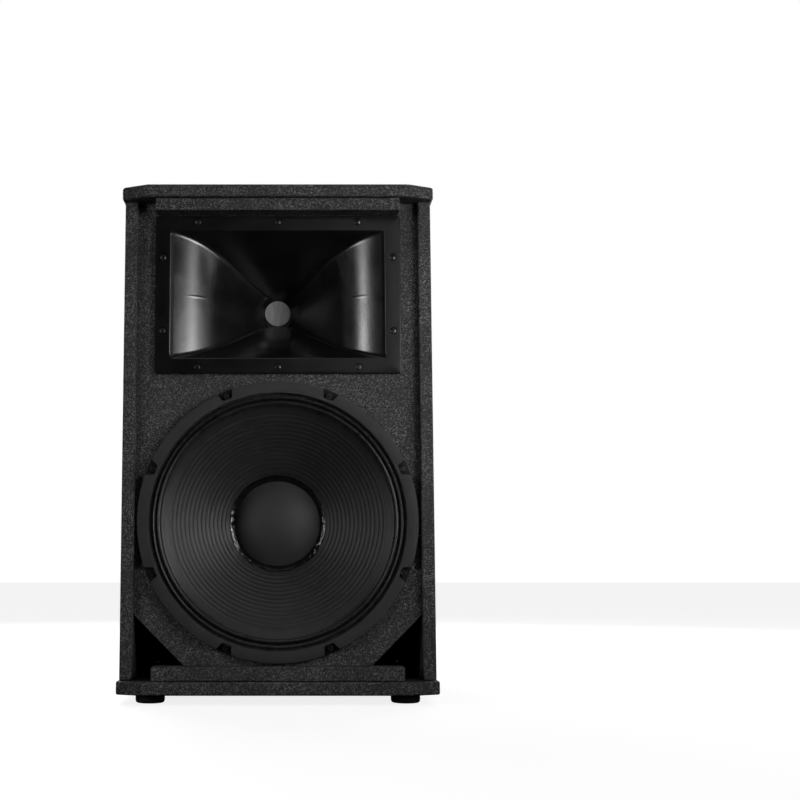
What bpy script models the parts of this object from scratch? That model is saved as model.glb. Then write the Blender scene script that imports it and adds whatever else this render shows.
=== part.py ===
"""Two-way 15-inch PA speaker cabinet with its grille taken off.

Metres, +Z up. The front faces -Y and the origin is on the floor under the middle of the cabinet.
Each driver is modelled about its own axis: local +Z is the way it faces, and its parent empty turns it.
"""

import math

import bmesh
import bpy
from mathutils import Matrix, Vector

GAP = 0.0003  # left between pieces that touch

# Cabinet
WIDTH = 0.436
DEPTH = 0.430
HEIGHT = 0.713
BOARD = 0.018
FOOT_HEIGHT = 0.013
FOOT_RADIUS = 0.020
FOOT_X = 0.174
FOOT_INSET = 0.048
CORNER_WIDTH = 0.036
CORNER_DEPTH = 0.0175
OVERHANG = 0.0035
SIDE_SETBACK = 0.026
BAFFLE_SETBACK = 0.035
BATTEN_SETBACK = 0.005
BATTEN_HALF_WIDTH = 0.170
TOP_BATTEN_HEIGHT = 0.018
BOTTOM_BATTEN_HEIGHT = 0.020
EDGE_RADIUS = 0.0035
SMALL_EDGE_RADIUS = 0.002

FRONT_Y = -DEPTH / 2
BACK_Y = DEPTH / 2
FLOOR_Z = FOOT_HEIGHT + BOARD
CEILING_Z = HEIGHT - BOARD
SIDE_OUTER_X = WIDTH / 2 - OVERHANG
SIDE_INNER_X = SIDE_OUTER_X - BOARD
BAFFLE_Y = FRONT_Y + BAFFLE_SETBACK
BAFFLE_BACK_Y = BAFFLE_Y + BOARD
BACK_PANEL_Y = BACK_Y - OVERHANG
BACK_INNER_Y = BACK_PANEL_Y - BOARD

# Ports: the duct boards and the baffle's cut corners lie on z = |x| - PORT_OFFSET
PORT_OFFSET = 0.0776
PORT_LENGTH = 0.150
PORT_BOARD = 0.012

# Horn
HORN_Z = 0.563
FLANGE_HALF_WIDTH = 0.172
FLANGE_HALF_HEIGHT = 0.1125
FLANGE_THICKNESS = 0.0035
MOUTH_HALF_WIDTH = 0.150
MOUTH_HALF_HEIGHT = 0.0905
MOUTH_CORNER = 0.006
THROAT_RADIUS = 0.019
THROAT_DEPTH = 0.136
THROAT_FLANGE_RADIUS = 0.045
THROAT_FLANGE_THICKNESS = 0.008
SIDE_SLOPE = 0.70
MOUTH_FLARE_LENGTH = 0.019
HORN_WALL = 0.0035
HORN_GASKET = 0.0015
HORN_FRONT_Y = BAFFLE_Y - 2 * GAP - HORN_GASKET - FLANGE_THICKNESS
HORN_CUT_MARGIN = 0.0055

# Woofer
WOOFER_Z = 0.2465
WOOFER_STEPS = 32
FRAME_RADIUS = 0.194
BAFFLE_HOLE_RADIUS = 0.1775
GASKET_INNER = 0.177
GASKET_OUTER = 0.193
GASKET_THICKNESS = 0.005
NOTCH_RADIUS = 0.1815
NOTCH_HALF_WIDTHS = (0.0060, 0.0105)
SCREW_CIRCLE = 0.1862
SCREW_COUNT = 8
SCREW_HEAD_RADIUS = 0.0040
SURROUND_OUTER = 0.1795
CONE_RADIUS = 0.160
CONE_EDGE = -0.0035
CONE_NECK = 0.0503
CONE_SLOPE = 0.875
CONE_PAPER = 0.0014
CAP_RADIUS = 0.062
CAP_RISE = 0.024
PLATE_TOP = -0.115
PLATE_THICKNESS = 0.010
MAGNET_THICKNESS = 0.025
PLATE_RADIUS = 0.0975
MAGNET_RADIUS = 0.105
POLE_RADIUS = 0.048
GAP_RADIUS = 0.0525
VENT_RADIUS = 0.018

# Compression driver, behind the horn's throat flange
DRIVER_STEPS = 20
DRIVER_RADIUS = 0.062
DRIVER_MAGNET_RADIUS = 0.070
DRIVER_COIL_RADIUS = 0.0375
DRIVER_COVER_RADIUS = 0.060

# Back, sides and bottom
DISH_Z = 0.150
HANDLE_Y = 0.005
HANDLE_Z = 0.430
POLE_SOCKET_RADIUS = 0.018
POLE_SOCKET_TOP = 0.105
POLE_HOLE_RADIUS = 0.023
LEAD_RADIUS = 0.0025

COLOURS = {
    "paint": ((0.012, 0.012, 0.013), 0.55, 0.0),
    "raw_board": ((0.35, 0.24, 0.14), 0.75, 0.0),
    "horn_plastic": ((0.010, 0.010, 0.011), 0.28, 0.0),
    "foam": ((0.02, 0.02, 0.02), 0.95, 0.0),
    "mesh": ((0.50, 0.50, 0.50), 0.55, 0.3),
    "frame_metal": ((0.02, 0.02, 0.022), 0.45, 0.3),
    "gasket": ((0.045, 0.045, 0.047), 0.80, 0.0),
    "cloth": ((0.02, 0.02, 0.02), 0.60, 0.0),
    "paper": ((0.018, 0.018, 0.018), 0.75, 0.0),
    "cap": ((0.03, 0.03, 0.031), 0.65, 0.0),
    "copper": ((0.45, 0.18, 0.07), 0.35, 1.0),
    "spider_cloth": ((0.50, 0.38, 0.16), 0.90, 0.0),
    "steel": ((0.40, 0.40, 0.41), 0.40, 1.0),
    "ferrite": ((0.06, 0.06, 0.065), 0.65, 0.0),
    "black_plastic": ((0.015, 0.015, 0.016), 0.40, 0.0),
    "titanium": ((0.55, 0.55, 0.57), 0.30, 1.0),
    "screw_black": ((0.02, 0.02, 0.02), 0.35, 0.8),
    "rubber": ((0.02, 0.02, 0.02), 0.80, 0.0),
    "wadding": ((0.70, 0.70, 0.68), 1.0, 0.0),
    "circuit_board": ((0.02, 0.14, 0.05), 0.50, 0.0),
    "capacitor": ((0.45, 0.05, 0.03), 0.45, 0.0),
    "lead": ((0.03, 0.03, 0.03), 0.55, 0.0),
}


def clear_scene():
    for obj in list(bpy.data.objects):
        bpy.data.objects.remove(obj, do_unlink=True)


def material(name):
    made = bpy.data.materials.get(name)
    if made:
        return made
    colour, roughness, metallic = COLOURS[name]
    made = bpy.data.materials.new(name)
    made.use_nodes = True
    shader = made.node_tree.nodes["Principled BSDF"]
    shader.inputs["Base Color"].default_value = (*colour, 1.0)
    shader.inputs["Roughness"].default_value = roughness
    shader.inputs["Metallic"].default_value = metallic
    return made


def axis_empty(name, location, rotation):
    empty = bpy.data.objects.new(name, None)
    empty.location = location
    empty.rotation_euler = rotation
    bpy.context.scene.collection.objects.link(empty)
    return empty


def finish(name, bm, slot, parent=None, smooth=False):
    bmesh.ops.remove_doubles(bm, verts=bm.verts, dist=0.000001)
    bmesh.ops.recalc_face_normals(bm, faces=bm.faces)
    mesh = bpy.data.meshes.new(name)
    bm.to_mesh(mesh)
    bm.free()
    if smooth:
        mesh.shade_smooth()
        mesh.set_sharp_from_angle(angle=math.radians(35))
    obj = bpy.data.objects.new(name, mesh)
    obj.data.materials.append(material(slot))
    obj.parent = parent
    bpy.context.scene.collection.objects.link(obj)
    return obj


def bevel(obj, width, segments=2):
    made = obj.modifiers.new("edges", "BEVEL")
    made.width = width
    made.segments = segments
    made.limit_method = "ANGLE"
    made.angle_limit = math.radians(30)


def as_cutter(obj):
    obj.hide_render = True
    obj.display_type = "WIRE"
    return obj


def combine(obj, other, operation):
    made = obj.modifiers.new(operation.lower(), "BOOLEAN")
    made.operation = operation
    made.solver = "EXACT"
    made.object = as_cutter(other)


def box(name, low, high, slot, parent=None):
    bm = bmesh.new()
    bmesh.ops.create_cube(bm, size=1.0)
    low, high = Vector(low), Vector(high)
    for vert in bm.verts:
        vert.co = (low + high) / 2 + vert.co * (high - low)
    return finish(name, bm, slot, parent)


def prism(name, outline, start, end, slot, parent=None):
    """Extrudes an outline, a list of 3D points in one plane, from offset start to offset end."""
    bm = bmesh.new()
    start = Vector(start)
    face = bm.faces.new([bm.verts.new(Vector(point) + start) for point in outline])
    made = bmesh.ops.extrude_face_region(bm, geom=[face])["geom"]
    moved = [item for item in made if isinstance(item, bmesh.types.BMVert)]
    bmesh.ops.translate(bm, verts=moved, vec=Vector(end) - start)
    return finish(name, bm, slot, parent)


def turned(name, profile, steps, slot, parent=None, location=(0, 0, 0), closed=True):
    """Spins a profile of (radius, height) points about local Z. An open one starts and ends on the axis."""
    bm = bmesh.new()
    verts = [bm.verts.new((radius, 0, height)) for radius, height in profile]
    pairs = list(zip(verts, verts[1:]))
    if closed:
        pairs.append((verts[-1], verts[0]))
    edges = [bm.edges.new(pair) for pair in pairs]
    bmesh.ops.spin(bm, geom=verts + edges, cent=(0, 0, 0), axis=(0, 0, 1), angle=2 * math.pi,
                   steps=steps, use_merge=True)
    obj = finish(name, bm, slot, parent, smooth=True)
    obj.location = location
    return obj


def rounded_ring(half_x, half_y, radius, height, corner_steps):
    """Points of a rounded rectangle. With both halves equal to the radius it is a circle."""
    points = []
    for quarter, (side_x, side_y) in enumerate(((1, 1), (-1, 1), (-1, -1), (1, -1))):
        for step in range(corner_steps + 1):
            angle = math.pi / 2 * (quarter + step / corner_steps)
            x = side_x * (half_x - radius) + radius * math.cos(angle)
            y = side_y * (half_y - radius) + radius * math.sin(angle)
            points.append((x, y, height))
    return points


def loft(name, sections, corner_steps, slot, parent, closed):
    """Joins rounded rectangles in order. A closed loft ends on its first section, others get two caps."""
    bm = bmesh.new()
    rings = [[bm.verts.new(point) for point in rounded_ring(*section, corner_steps)] for section in sections]
    pairs = list(zip(rings, rings[1:]))
    if closed:
        pairs.append((rings[-1], rings[0]))
    for near, far in pairs:
        for index in range(len(near)):
            bm.faces.new((near[index - 1], near[index], far[index], far[index - 1]))
    if not closed:
        bm.faces.new(rings[0])
        bm.faces.new(rings[-1])
    return finish(name, bm, slot, parent, smooth=True)


def ring(name, inner, outer, low, high, steps, slot, parent=None):
    profile = [(inner, low), (outer, low), (outer, high), (inner, high)]
    return turned(name, profile, steps, slot, parent)


def rod(name, radius, low, high, steps, slot, parent=None, location=(0, 0, 0)):
    profile = [(0, low), (radius, low), (radius, high), (0, high)]
    return turned(name, profile, steps, slot, parent, location, closed=False)


# Cabinet

def cap_board(name, low_z, high_z):
    half_width = WIDTH / 2
    front_half = half_width - CORNER_WIDTH
    corner_y = FRONT_Y + CORNER_DEPTH
    outline = [(-half_width, corner_y, 0), (-front_half, FRONT_Y, 0), (front_half, FRONT_Y, 0),
               (half_width, corner_y, 0), (half_width, BACK_Y, 0), (-half_width, BACK_Y, 0)]
    board = prism(name, outline, (0, 0, low_z), (0, 0, high_z), "paint")
    bevel(board, EDGE_RADIUS, 3)
    return board


def side_panel(name, side):
    xs = sorted((side * SIDE_INNER_X, side * SIDE_OUTER_X))
    low = (xs[0], FRONT_Y + SIDE_SETBACK, FLOOR_Z + GAP)
    high = (xs[1], BACK_PANEL_Y, CEILING_Z - GAP)
    panel = box(name, low, high, "paint")
    bevel(panel, SMALL_EDGE_RADIUS, 2)
    hole_low = (side * SIDE_OUTER_X - 2 * BOARD, HANDLE_Y - 0.075, HANDLE_Z - 0.050)
    hole_high = (side * SIDE_OUTER_X + 2 * BOARD, HANDLE_Y + 0.075, HANDLE_Z + 0.050)
    combine(panel, box(name + "_handle_hole", hole_low, hole_high, "paint"), "DIFFERENCE")


def back_panel():
    half = SIDE_INNER_X - GAP
    low = (-half, BACK_INNER_Y, FLOOR_Z + GAP)
    panel = box("back_panel", low, (half, BACK_PANEL_Y, CEILING_Z - GAP), "paint")
    hole = box("back_panel_dish_hole", (-0.060, BACK_INNER_Y - BOARD, DISH_Z - 0.044),
               (0.060, BACK_PANEL_Y + BOARD, DISH_Z + 0.044), "paint")
    combine(panel, hole, "DIFFERENCE")


def front_baffle(woofer_axis):
    half = SIDE_INNER_X - GAP
    low, high = FLOOR_Z + GAP, CEILING_Z - GAP
    outline = [(-half, 0, high), (-half, 0, half - PORT_OFFSET), (-low - PORT_OFFSET, 0, low),
               (low + PORT_OFFSET, 0, low), (half, 0, half - PORT_OFFSET), (half, 0, high)]
    baffle = prism("front_baffle", outline, (0, BAFFLE_Y, 0), (0, BAFFLE_BACK_Y, 0), "paint")
    horn_half = (MOUTH_HALF_WIDTH + HORN_CUT_MARGIN, MOUTH_HALF_HEIGHT + HORN_CUT_MARGIN)
    horn_hole = box("baffle_horn_hole", (-horn_half[0], BAFFLE_Y - BOARD, HORN_Z - horn_half[1]),
                    (horn_half[0], BAFFLE_BACK_Y + BOARD, HORN_Z + horn_half[1]), "paint")
    combine(baffle, horn_hole, "DIFFERENCE")
    woofer_hole = rod("baffle_woofer_hole", BAFFLE_HOLE_RADIUS, -2 * BOARD, BOARD, WOOFER_STEPS, "paint",
                      woofer_axis)
    combine(baffle, woofer_hole, "DIFFERENCE")
    combine(baffle, screw_hole_cutter("baffle_screw_holes", woofer_axis), "DIFFERENCE")


def batten(name, low_z, high_z):
    made = box(name, (-BATTEN_HALF_WIDTH, FRONT_Y + BATTEN_SETBACK, low_z),
               (BATTEN_HALF_WIDTH, BAFFLE_Y - GAP, high_z), "paint")
    bevel(made, SMALL_EDGE_RADIUS, 2)


def port_board(name, side):
    """A 45 degree board between the bottom board and one side, its port face on the baffle's cut corner."""
    wall = SIDE_INNER_X - GAP
    low = FLOOR_Z + GAP
    across = PORT_BOARD * math.sqrt(2)
    corners = [(low + PORT_OFFSET, low), (wall, wall - PORT_OFFSET), (wall, wall - PORT_OFFSET + across),
               (low + PORT_OFFSET - across, low)]
    outline = [(side * x, 0, z) for x, z in corners]
    start = BAFFLE_BACK_Y + GAP
    prism(name, outline, (0, start, 0), (0, start + PORT_LENGTH, 0), "paint")


def cross_brace():
    half = SIDE_INNER_X - GAP
    box("cross_brace", (-half, 0.030, 0.352), (half, 0.110, 0.352 + BOARD), "raw_board")


def damping_wadding():
    back = BACK_INNER_Y - GAP
    wad = box("damping_wadding", (-0.180, back - 0.018, 0.400), (0.180, back, 0.670), "wadding")
    bevel(wad, 0.005, 2)


def foot(name, x, y):
    edge = 0.0025
    profile = [(0, 0), (FOOT_RADIUS - edge, 0), (FOOT_RADIUS, edge), (FOOT_RADIUS, FOOT_HEIGHT - GAP),
               (0, FOOT_HEIGHT - GAP)]
    turned(name, profile, 16, "rubber", location=(x, y, 0), closed=False)


def pole_socket():
    """A flanged cup for a 35 mm pole, let into the bottom board from below."""
    wall = 0.003
    flange_top = FOOT_HEIGHT - GAP
    outer = POLE_SOCKET_RADIUS + wall
    profile = [(0, POLE_SOCKET_TOP), (POLE_SOCKET_RADIUS, POLE_SOCKET_TOP),
               (POLE_SOCKET_RADIUS, flange_top - wall), (0.045, flange_top - wall), (0.045, flange_top),
               (outer, flange_top), (outer, POLE_SOCKET_TOP + wall), (0, POLE_SOCKET_TOP + wall)]
    turned("pole_socket", profile, 20, "black_plastic", closed=False)


def handle(name, side):
    """A recessed cup with a bar across it. Local +Z points out of the cabinet."""
    axis = axis_empty(name + "_axis", (side * SIDE_OUTER_X, HANDLE_Y, HANDLE_Z), (0, side * math.pi / 2, 0))
    face = GAP + 0.0023
    sections = [(0.038, 0.062, 0.012, -0.046), (0.045, 0.070, 0.014, face), (0.058, 0.085, 0.014, face),
                (0.058, 0.085, 0.014, GAP), (0.048, 0.073, 0.016, GAP), (0.0405, 0.0645, 0.014, -0.0485)]
    cup = loft(name, sections, 3, "black_plastic", axis, closed=False)
    bar = rod(name + "_bar", 0.010, -0.0705, 0.0705, 12, "black_plastic", axis, (-side * 0.018, 0, -0.012))
    bar.rotation_euler = (math.pi / 2, 0, 0)
    combine(cup, bar, "UNION")


# Horn and compression driver

def horn_half_width(depth):
    cone = THROAT_RADIUS + SIDE_SLOPE * (THROAT_DEPTH - depth)
    flare = MOUTH_HALF_WIDTH - THROAT_RADIUS - SIDE_SLOPE * THROAT_DEPTH
    fade = (1 - depth / THROAT_DEPTH) * math.exp(-depth / MOUTH_FLARE_LENGTH)
    return cone + flare * fade


def horn_half_height(depth):
    return THROAT_RADIUS + (MOUTH_HALF_HEIGHT - THROAT_RADIUS) * (1 - depth / THROAT_DEPTH)


def horn_corner(depth):
    return MOUTH_CORNER + (THROAT_RADIUS - MOUTH_CORNER) * (depth / THROAT_DEPTH) ** 4


def horn_section(depth, wall):
    half_width, half_height = horn_half_width(depth), horn_half_height(depth)
    return (half_width + wall, half_height + wall, horn_corner(depth) + wall, -depth - wall)


def horn_flare(axis):
    """One shell: inner wall from throat to mouth, flange, outer wall, and the driver's mounting flange."""
    steps = 8
    depths = [THROAT_DEPTH * (index / steps) ** 1.6 for index in range(steps + 1)]
    inner = [horn_section(depth, 0) for depth in reversed(depths)]
    edge = [(FLANGE_HALF_WIDTH, FLANGE_HALF_HEIGHT, 0.003, height) for height in (0, -FLANGE_THICKNESS)]
    outer = [horn_section(depth, HORN_WALL) for depth in depths[:-2]]
    boss_depth = THROAT_DEPTH - THROAT_FLANGE_THICKNESS
    neck = THROAT_RADIUS + 2 * HORN_WALL
    boss = [(neck, neck, neck, -boss_depth)]
    boss += [(THROAT_FLANGE_RADIUS,) * 3 + (height,) for height in (-boss_depth, -THROAT_DEPTH)]
    loft("horn_flare", inner + edge + outer + boss, 5, "horn_plastic", axis, closed=True)


def horn_gasket():
    """A thin foam frame between the horn's flange and the baffle."""
    outer_x, outer_z = FLANGE_HALF_WIDTH - 0.001, FLANGE_HALF_HEIGHT - 0.001
    inner_x, inner_z = MOUTH_HALF_WIDTH + HORN_CUT_MARGIN, MOUTH_HALF_HEIGHT + HORN_CUT_MARGIN
    back = BAFFLE_Y - GAP
    low = (-outer_x, back - HORN_GASKET, HORN_Z - outer_z)
    frame = box("horn_gasket", low, (outer_x, back, HORN_Z + outer_z), "foam")
    low = (-inner_x, back - BOARD, HORN_Z - inner_z)
    hole = box("horn_gasket_hole", low, (inner_x, back + BOARD, HORN_Z + inner_z), "foam")
    combine(frame, hole, "DIFFERENCE")


def throat_screen(axis):
    rod("throat_screen", 0.0205, -0.0011, -0.0004, DRIVER_STEPS, "mesh", axis)


def driver_pole_plate(axis):
    """Front plate and pole in one: the throat runs through it and the phase plug sits in its back end."""
    profile = [(THROAT_RADIUS, -0.0014), (0.0208, -0.0014), (0.0208, -GAP), (DRIVER_RADIUS, -GAP),
               (DRIVER_RADIUS, -0.0083), (0.0365, -0.0083), (0.0365, -0.039), (0.0305, -0.039),
               (0.0305, -0.028)]
    turned("driver_pole_plate", profile, DRIVER_STEPS, "steel", axis)


def driver_phase_plug(axis):
    """A domed plug whose radial slots let the sound through to the throat."""
    dome = [(0.0302 * math.cos(angle), -0.0385 - 0.008 * math.sin(angle)) for angle in (0.0, 0.5, 1.0)]
    profile = [(0, -0.024), (0.012, -0.0265), (0.0302, -0.0295)] + dome + [(0, -0.0465)]
    plug = turned("driver_phase_plug", profile, DRIVER_STEPS, "black_plastic", axis, closed=False)
    bm = bmesh.new()
    for index in range(6):
        made = bmesh.ops.create_cube(bm, size=1.0)["verts"]
        bmesh.ops.scale(bm, verts=made, vec=(0.015, 0.003, 0.06))
        bmesh.ops.translate(bm, verts=made, vec=(0.0175, 0, -0.035))
        turn = Matrix.Rotation(index * math.pi / 3, 3, "Z")
        bmesh.ops.rotate(bm, verts=made, cent=(0, 0, 0), matrix=turn)
    combine(plug, finish("phase_plug_slots", bm, "black_plastic", axis), "DIFFERENCE")


def driver_diaphragm(axis):
    """Dome and coil former in one thin shell."""
    edge = DRIVER_COIL_RADIUS + 0.0007
    outer = [(edge * math.sin(angle), -0.0395 - 0.0105 * math.cos(angle)) for angle in (0.0, 0.4, 0.8, 1.2)]
    inner = [(radius * 0.985, height + 0.0008) for radius, height in reversed(outer)]
    former = [(edge, -0.0404), (edge, -0.0395), (0.0380, -0.0395), (0.0380, -0.0300), (0.0371, -0.0300),
              (0.0371, -0.0400)]
    profile = outer + former + inner
    turned("driver_diaphragm", profile, DRIVER_STEPS, "titanium", axis, closed=False)


def driver_stack(axis):
    ring("driver_magnet", 0.042, DRIVER_MAGNET_RADIUS, -0.0306, -0.0086, DRIVER_STEPS, "ferrite", axis)
    ring("driver_top_plate", 0.0388, DRIVER_RADIUS, -0.0388, -0.0309, DRIVER_STEPS, "steel", axis)
    ring("driver_suspension", 0.0386, 0.0500, -0.0397, -0.0391, DRIVER_STEPS, "cloth", axis)
    profile = [(0, -0.066), (0.054, -0.066), (DRIVER_COVER_RADIUS, -0.060), (DRIVER_COVER_RADIUS, -0.040),
               (0.055, -0.040), (0.055, -0.058), (0.051, -0.062), (0, -0.062)]
    turned("driver_rear_cover", profile, DRIVER_STEPS, "black_plastic", axis, closed=False)
    low, high = (-0.010, -0.036, -0.0733), (0.010, -0.024, -0.0663)
    terminal = box("driver_terminal", low, high, "black_plastic", axis)
    bevel(terminal, 0.001, 1)


# Woofer

def screw_angles():
    return [math.pi / SCREW_COUNT * (1 + 2 * index) for index in range(SCREW_COUNT)]


def screw_hole_cutter(name, axis):
    bm = bmesh.new()
    for angle in screw_angles():
        made = bmesh.ops.create_cone(bm, segments=10, radius1=0.003, radius2=0.003, depth=0.060,
                                     cap_ends=True)["verts"]
        place = (SCREW_CIRCLE * math.cos(angle), SCREW_CIRCLE * math.sin(angle), 0)
        bmesh.ops.translate(bm, verts=made, vec=place)
    return finish(name, bm, "frame_metal", axis)


def woofer_frame(axis):
    """Cast basket: flange, conical wall with eight windows, spider ledge and the magnet's ring."""
    front = [(FRAME_RADIUS, 0.0030), (0.1800, 0.0030), (0.1800, 0.0008), (0.1700, 0.0008),
             (0.1680, -0.0100), (0.1430, -0.0640), (0.1100, -0.1060), (0.0880, -0.1060),
             (0.0860, -0.1110), (0.0600, -0.1110)]
    back = [(0.0600, PLATE_TOP + GAP), (0.1120, PLATE_TOP + GAP), (0.1180, -0.1060), (0.1490, -0.0670),
            (0.1745, -0.0100), (0.1755, GAP), (FRAME_RADIUS, GAP)]
    frame = turned("woofer_frame", front + back, WOOFER_STEPS, "frame_metal", axis)
    bm = bmesh.new()
    for index in range(SCREW_COUNT):
        made = bmesh.ops.create_cube(bm, size=1.0)["verts"]
        bmesh.ops.scale(bm, verts=made, vec=(0.100, 0.056, 0.066))
        bmesh.ops.translate(bm, verts=made, vec=(0.155, 0, -0.058))
        turn = Matrix.Rotation(index * 2 * math.pi / SCREW_COUNT, 3, "Z")
        bmesh.ops.rotate(bm, verts=made, cent=(0, 0, 0), matrix=turn)
    combine(frame, finish("frame_windows", bm, "frame_metal", axis), "DIFFERENCE")
    combine(frame, screw_hole_cutter("frame_screw_holes", axis), "DIFFERENCE")


def woofer_gasket_ring(axis):
    """Flat ring over the frame's rim, notched at each screw."""
    low = 0.0030 + GAP
    high = low + GASKET_THICKNESS
    gasket = ring("woofer_gasket_ring", GASKET_INNER, GASKET_OUTER, low, high, WOOFER_STEPS, "gasket", axis)
    bm = bmesh.new()
    for angle in screw_angles():
        inner_half, outer_half = NOTCH_HALF_WIDTHS
        outer = FRAME_RADIUS + 0.001
        corners = [(NOTCH_RADIUS, -inner_half), (outer, -outer_half), (outer, outer_half),
                   (NOTCH_RADIUS, inner_half)]
        face = bm.faces.new([bm.verts.new((x, y, -0.005)) for x, y in corners])
        made = bmesh.ops.extrude_face_region(bm, geom=[face])["geom"]
        top = [item for item in made if isinstance(item, bmesh.types.BMVert)]
        bmesh.ops.translate(bm, verts=top, vec=(0, 0, 0.020))
        turn = Matrix.Rotation(angle, 3, "Z")
        bmesh.ops.rotate(bm, verts=list(face.verts) + top, cent=(0, 0, 0), matrix=turn)
    combine(gasket, finish("gasket_notches", bm, "gasket", axis), "DIFFERENCE")


def cone_height(radius):
    return CONE_EDGE - CONE_SLOPE * (CONE_RADIUS - radius)


def woofer_cone(axis):
    radii = [CONE_RADIUS, 0.135, 0.100, CONE_NECK]
    front = [(radius, cone_height(radius)) for radius in radii]
    back = [(radius, cone_height(radius) - CONE_PAPER) for radius in reversed(radii)]
    turned("woofer_cone", front + back, WOOFER_STEPS, "paper", axis)


def woofer_dust_cap(axis):
    sphere = (CAP_RADIUS ** 2 + CAP_RISE ** 2) / (2 * CAP_RISE)
    reach = math.asin(CAP_RADIUS / sphere)
    foot_height = cone_height(CAP_RADIUS) + 2.5 * GAP
    angles = [reach * index / 4 for index in range(5)]
    middle = foot_height + CAP_RISE - sphere
    outer = [(sphere * math.sin(angle), middle + sphere * math.cos(angle)) for angle in angles]
    inner = [(radius * (1 - 0.001 / CAP_RADIUS), height - 0.001) for radius, height in reversed(outer[:-1])]
    rim = [(CAP_RADIUS - 0.0012, foot_height)]
    turned("woofer_dust_cap", outer + rim + inner, WOOFER_STEPS, "cap", axis, closed=False)


def woofer_voice_coil(axis):
    """Former with its winding, in the gap between pole and front plate."""
    profile = [(0.0492, -0.0965), (0.0500, -0.0965), (0.0500, -0.1130), (0.0512, -0.1130), (0.0512, -0.1270),
               (0.0500, -0.1270), (0.0500, -0.1330), (0.0492, -0.1330)]
    turned("woofer_voice_coil", profile, WOOFER_STEPS, "copper", axis)


def woofer_surround(axis):
    """Ring from the frame's rim down to the edge of the cone."""
    inner = CONE_RADIUS + GAP
    profile = [(inner, -0.0045), (0.1640, -0.0012), (0.1665, 0.0011), (SURROUND_OUTER, 0.0011),
               (SURROUND_OUTER, 0.0029), (0.1660, 0.0029), (0.1630, 0.0004), (inner, -0.0025)]
    turned("woofer_surround", profile, WOOFER_STEPS, "cloth", axis)


def woofer_motor(axis):
    ring("woofer_spider", 0.0504, 0.0990, -0.1057, -0.1040, WOOFER_STEPS, "spider_cloth", axis)
    plate_back = PLATE_TOP - PLATE_THICKNESS
    magnet_back = plate_back - GAP - MAGNET_THICKNESS
    ring("woofer_front_plate", GAP_RADIUS, PLATE_RADIUS, plate_back, PLATE_TOP, WOOFER_STEPS, "steel", axis)
    ring("woofer_magnet", 0.062, MAGNET_RADIUS, magnet_back, plate_back - GAP, WOOFER_STEPS, "ferrite", axis)
    yoke_top = magnet_back - GAP
    yoke_back = yoke_top - PLATE_THICKNESS
    profile = [(VENT_RADIUS, PLATE_TOP), (POLE_RADIUS, PLATE_TOP), (POLE_RADIUS, yoke_top),
               (PLATE_RADIUS, yoke_top), (PLATE_RADIUS, yoke_back), (VENT_RADIUS, yoke_back)]
    turned("woofer_yoke", profile, WOOFER_STEPS, "steel", axis)
    low = (-0.012, 0.0988, PLATE_TOP - 0.0098)
    terminal = box("woofer_terminal", low, (0.012, 0.1100, PLATE_TOP), "black_plastic", axis)
    bevel(terminal, 0.001, 1)


def woofer_screws(axis):
    """Pan-head screws through the frame into the baffle, one in each notch of the gasket."""
    under_head = 0.0030 + GAP
    head = SCREW_HEAD_RADIUS
    profile = [(0, -0.020), (0.0022, -0.020), (0.0022, under_head), (head, under_head), (head, 0.0058),
               (head - 0.001, 0.0070), (0, 0.0070)]
    for index, angle in enumerate(screw_angles(), start=1):
        place = (SCREW_CIRCLE * math.cos(angle), SCREW_CIRCLE * math.sin(angle), 0)
        turned(f"woofer_screw_{index}", profile, 10, "screw_black", axis, place, closed=False)


# Input dish, crossover and leads

def input_dish(axis):
    face = GAP + 0.0025
    sections = [(0.050, 0.034, 0.006, -0.030), (0.055, 0.039, 0.008, face), (0.075, 0.055, 0.006, face),
                (0.075, 0.055, 0.006, GAP), (0.058, 0.042, 0.010, GAP), (0.053, 0.037, 0.008, -0.0325)]
    dish = loft("input_dish", sections, 3, "black_plastic", axis, closed=False)
    for index, x in enumerate((-0.024, 0.024), start=1):
        hole = rod(f"dish_socket_hole_{index}", 0.0125, -0.040, -0.020, 16, "black_plastic", axis, (x, 0, 0))
        combine(dish, hole, "DIFFERENCE")
        profile = [(0, -0.046), (0.0105, -0.046), (0.0105, -0.0272), (0.0155, -0.0272),
                   (0.0155, -0.030 + GAP), (0.0120, -0.030 + GAP), (0.0120, -0.052), (0, -0.052)]
        turned(f"speaker_socket_{index}", profile, 16, "black_plastic", axis, (x, 0, 0), closed=False)


def crossover():
    front = 0.1800
    board = box("crossover_board", (-0.090, front, 0.250), (0.090, front + 0.0016, 0.360), "circuit_board")
    bm = bmesh.new()
    for x in (-0.082, 0.082):
        for z in (0.258, 0.352):
            made = bmesh.ops.create_cube(bm, size=1.0)["verts"]
            length = BACK_INNER_Y - GAP - front - 0.0008
            bmesh.ops.scale(bm, verts=made, vec=(0.008, length, 0.008))
            bmesh.ops.translate(bm, verts=made, vec=(x, BACK_INNER_Y - GAP - length / 2, z))
    combine(board, finish("crossover_posts", bm, "circuit_board"), "UNION")
    face = front - GAP
    facing = (math.pi / 2, 0, 0)
    woofer_side = axis_empty("crossover_woofer_side", (-0.050, face, 0.305), facing)
    horn_side = axis_empty("crossover_horn_side", (0.010, face, 0.325), facing)
    ring("crossover_woofer_coil", 0.012, 0.030, 0, 0.025, 16, "copper", woofer_side)
    ring("crossover_horn_coil", 0.008, 0.018, 0, 0.015, 16, "copper", horn_side)
    place = (0.055, face - 0.0126, 0.290)
    can = rod("crossover_capacitor", 0.0125, -0.0225, 0.0225, 12, "capacitor", None, place)
    can.rotation_euler = (0, math.pi / 2, 0)


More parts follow.
